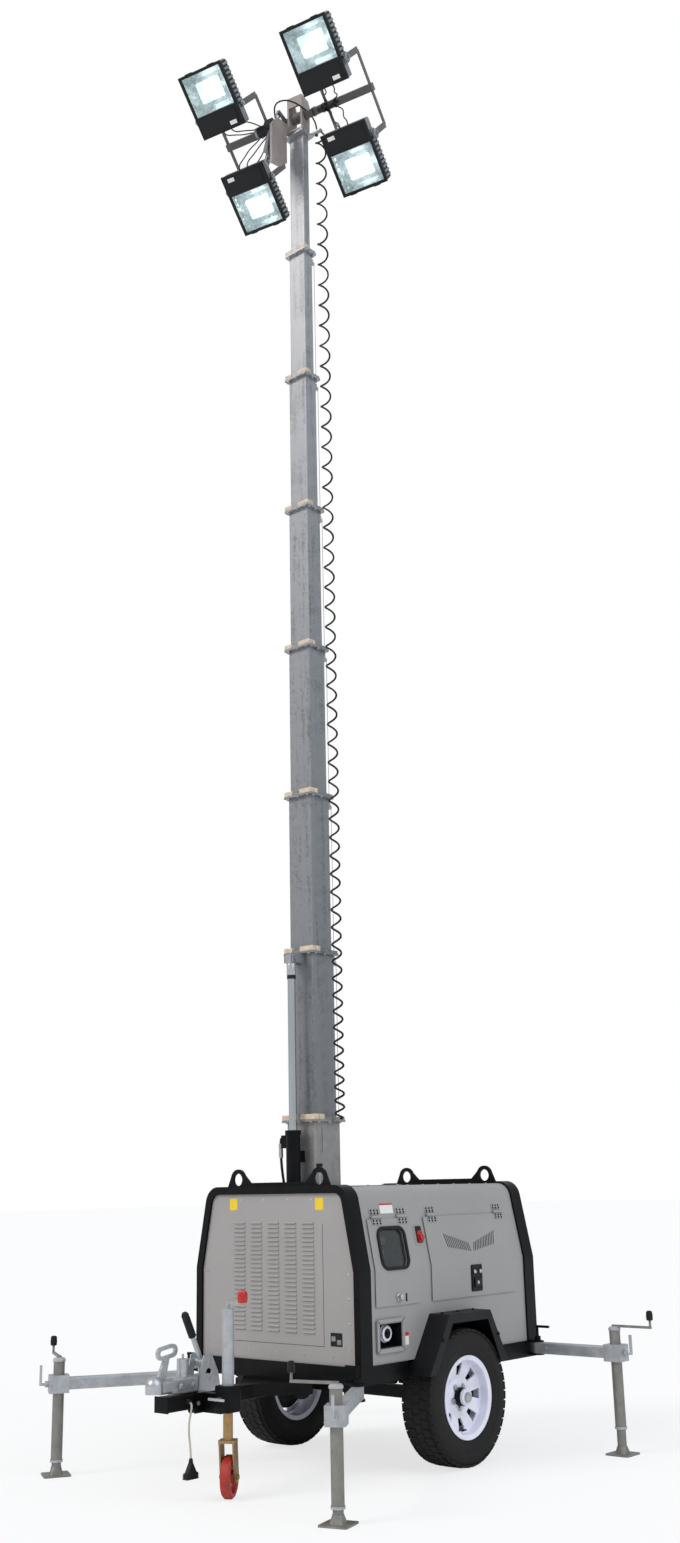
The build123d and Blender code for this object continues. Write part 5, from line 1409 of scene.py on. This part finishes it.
class TOWER_OT_stage(bpy.types.Operator):
    """Pale floor and backdrop, soft studio light and the camera"""

    bl_idname = "tower.stage"
    bl_label = "Stage"

    def execute(self, context):
        scene = context.scene
        only()
        bpy.ops.mesh.primitive_plane_add(size=160, location=(0, 0, 0))
        floor = bpy.context.object
        floor.name = "studio_floor"
        floor.data.materials.append(self.pale_floor())
        world = bpy.data.worlds.new("studio")
        scene.world = world
        world.use_nodes = True
        tree = world.node_tree
        light = tree.nodes["Background"]
        light.inputs["Color"].default_value = (0.88, 0.94, 1.0, 1)
        light.inputs["Strength"].default_value = 0.62
        shown = add(tree, "ShaderNodeBackground", {"Color": (1, 1, 1, 1), "Strength": 1.0})
        ray = add(tree, "ShaderNodeLightPath")
        straight = add(tree, "ShaderNodeMath", {"operation": "MAXIMUM"},
                       {0: ray.outputs["Is Camera Ray"], 1: ray.outputs["Is Transmission Ray"]})
        mixed = add(tree, "ShaderNodeMixShader", links={0: straight.outputs["Value"],
                                                        1: light.outputs["Background"],
                                                        2: shown.outputs["Background"]})
        tree.links.new(mixed.outputs["Shader"], tree.nodes["World Output"].inputs["Surface"])
        suns = (("key_sun", (50, 0, -24), 1.5, 24, (1.0, 0.93, 0.89)),
                ("fill_sun", (48, 0, 90), 1.0, 60, (0.88, 0.94, 1.0)))
        for name, turn, power, size, tint in suns:
            lamp = bpy.data.lights.new(name, "SUN")
            lamp.color = tint
            lamp.energy = power
            lamp.angle = radians(size)
            sun = bpy.data.objects.new(name, lamp)
            sun.rotation_euler = [radians(angle) for angle in turn]
            scene.collection.objects.link(sun)
        lens = bpy.data.cameras.new("photo_view")
        lens.sensor_width = 36
        lens.lens = FOCAL
        lens.clip_end = 200
        camera = bpy.data.objects.new("photo_view", lens)
        forward = Vector((-sin(YAW) * cos(PITCH), cos(YAW) * cos(PITCH), sin(PITCH)))
        right = Vector((cos(YAW), sin(YAW), 0))
        up = right.cross(forward)
        turned_right = right * cos(ROLL) + up * sin(ROLL)
        turned_up = up * cos(ROLL) - right * sin(ROLL)
        camera.matrix_world = Matrix.Translation(EYE) @ Matrix(
            (turned_right, turned_up, -forward)).transposed().to_4x4()
        scene.collection.objects.link(camera)
        scene.camera = camera
        scene.view_settings.view_transform = "Standard"
        return {"FINISHED"}

    @staticmethod
    def pale_floor():
        """Pale matt floor whose far reaches fade into the white backdrop."""
        material, tree, shader = finish_named("pale_floor", (0.86, 0.86, 0.86), 0.0, 0.9)
        glow = add(tree, "ShaderNodeEmission", {"Color": (1, 1, 1, 1), "Strength": 1.0})
        ray = add(tree, "ShaderNodeLightPath")
        seen = add(tree, "ShaderNodeMath", {"operation": "MULTIPLY", 1: 0.72},
                   {0: ray.outputs["Is Camera Ray"]})
        mixed = add(tree, "ShaderNodeMixShader", links={0: seen.outputs["Value"],
                                                        1: shader.outputs["BSDF"],
                                                        2: glow.outputs["Emission"]})
        tree.links.new(mixed.outputs["Shader"], tree.nodes["Material Output"].inputs["Surface"])
        return material


class TOWER_PT_sidebar(bpy.types.Panel):
    """Lists the dressing's steps and settings"""

    bl_label = "Light Tower"
    bl_space_type = "VIEW_3D"
    bl_region_type = "UI"
    bl_category = "Light Tower"

    def draw(self, context):
        for step in STEPS:
            self.layout.operator(step.bl_idname)
        for group in (context.scene.tower_sizes, context.scene.tower_colours):
            for name in group.__annotations__:
                self.layout.prop(group, name)


STEPS = (TOWER_OT_finishes, TOWER_OT_mast_cord, TOWER_OT_light_lead, TOWER_OT_mast_collars,
         TOWER_OT_floodlights, TOWER_OT_head_wiring, TOWER_OT_front_fittings, TOWER_OT_side_fittings,
         TOWER_OT_roof_fittings, TOWER_OT_road_wheels, TOWER_OT_outrigger_fittings,
         TOWER_OT_drawbar_fittings, TOWER_OT_stage)
CLASSES = (TowerSizes, TowerColours, *STEPS, TOWER_PT_sidebar)


def register():
    """Add the classes and their settings."""
    for item in CLASSES:
        bpy.utils.register_class(item)
    bpy.types.Scene.tower_sizes = PointerProperty(type=TowerSizes)
    bpy.types.Scene.tower_colours = PointerProperty(type=TowerColours)


def unregister():
    """Take them away again."""
    del bpy.types.Scene.tower_colours
    del bpy.types.Scene.tower_sizes
    for item in reversed(CLASSES):
        bpy.utils.unregister_class(item)


def main():
    """Run each step in order."""
    register()
    for step in STEPS:
        group, name = step.bl_idname.split(".")
        getattr(getattr(bpy.ops, group), name)()
    bpy.context.view_layer.update()


if __name__ == "__main__":
    main()
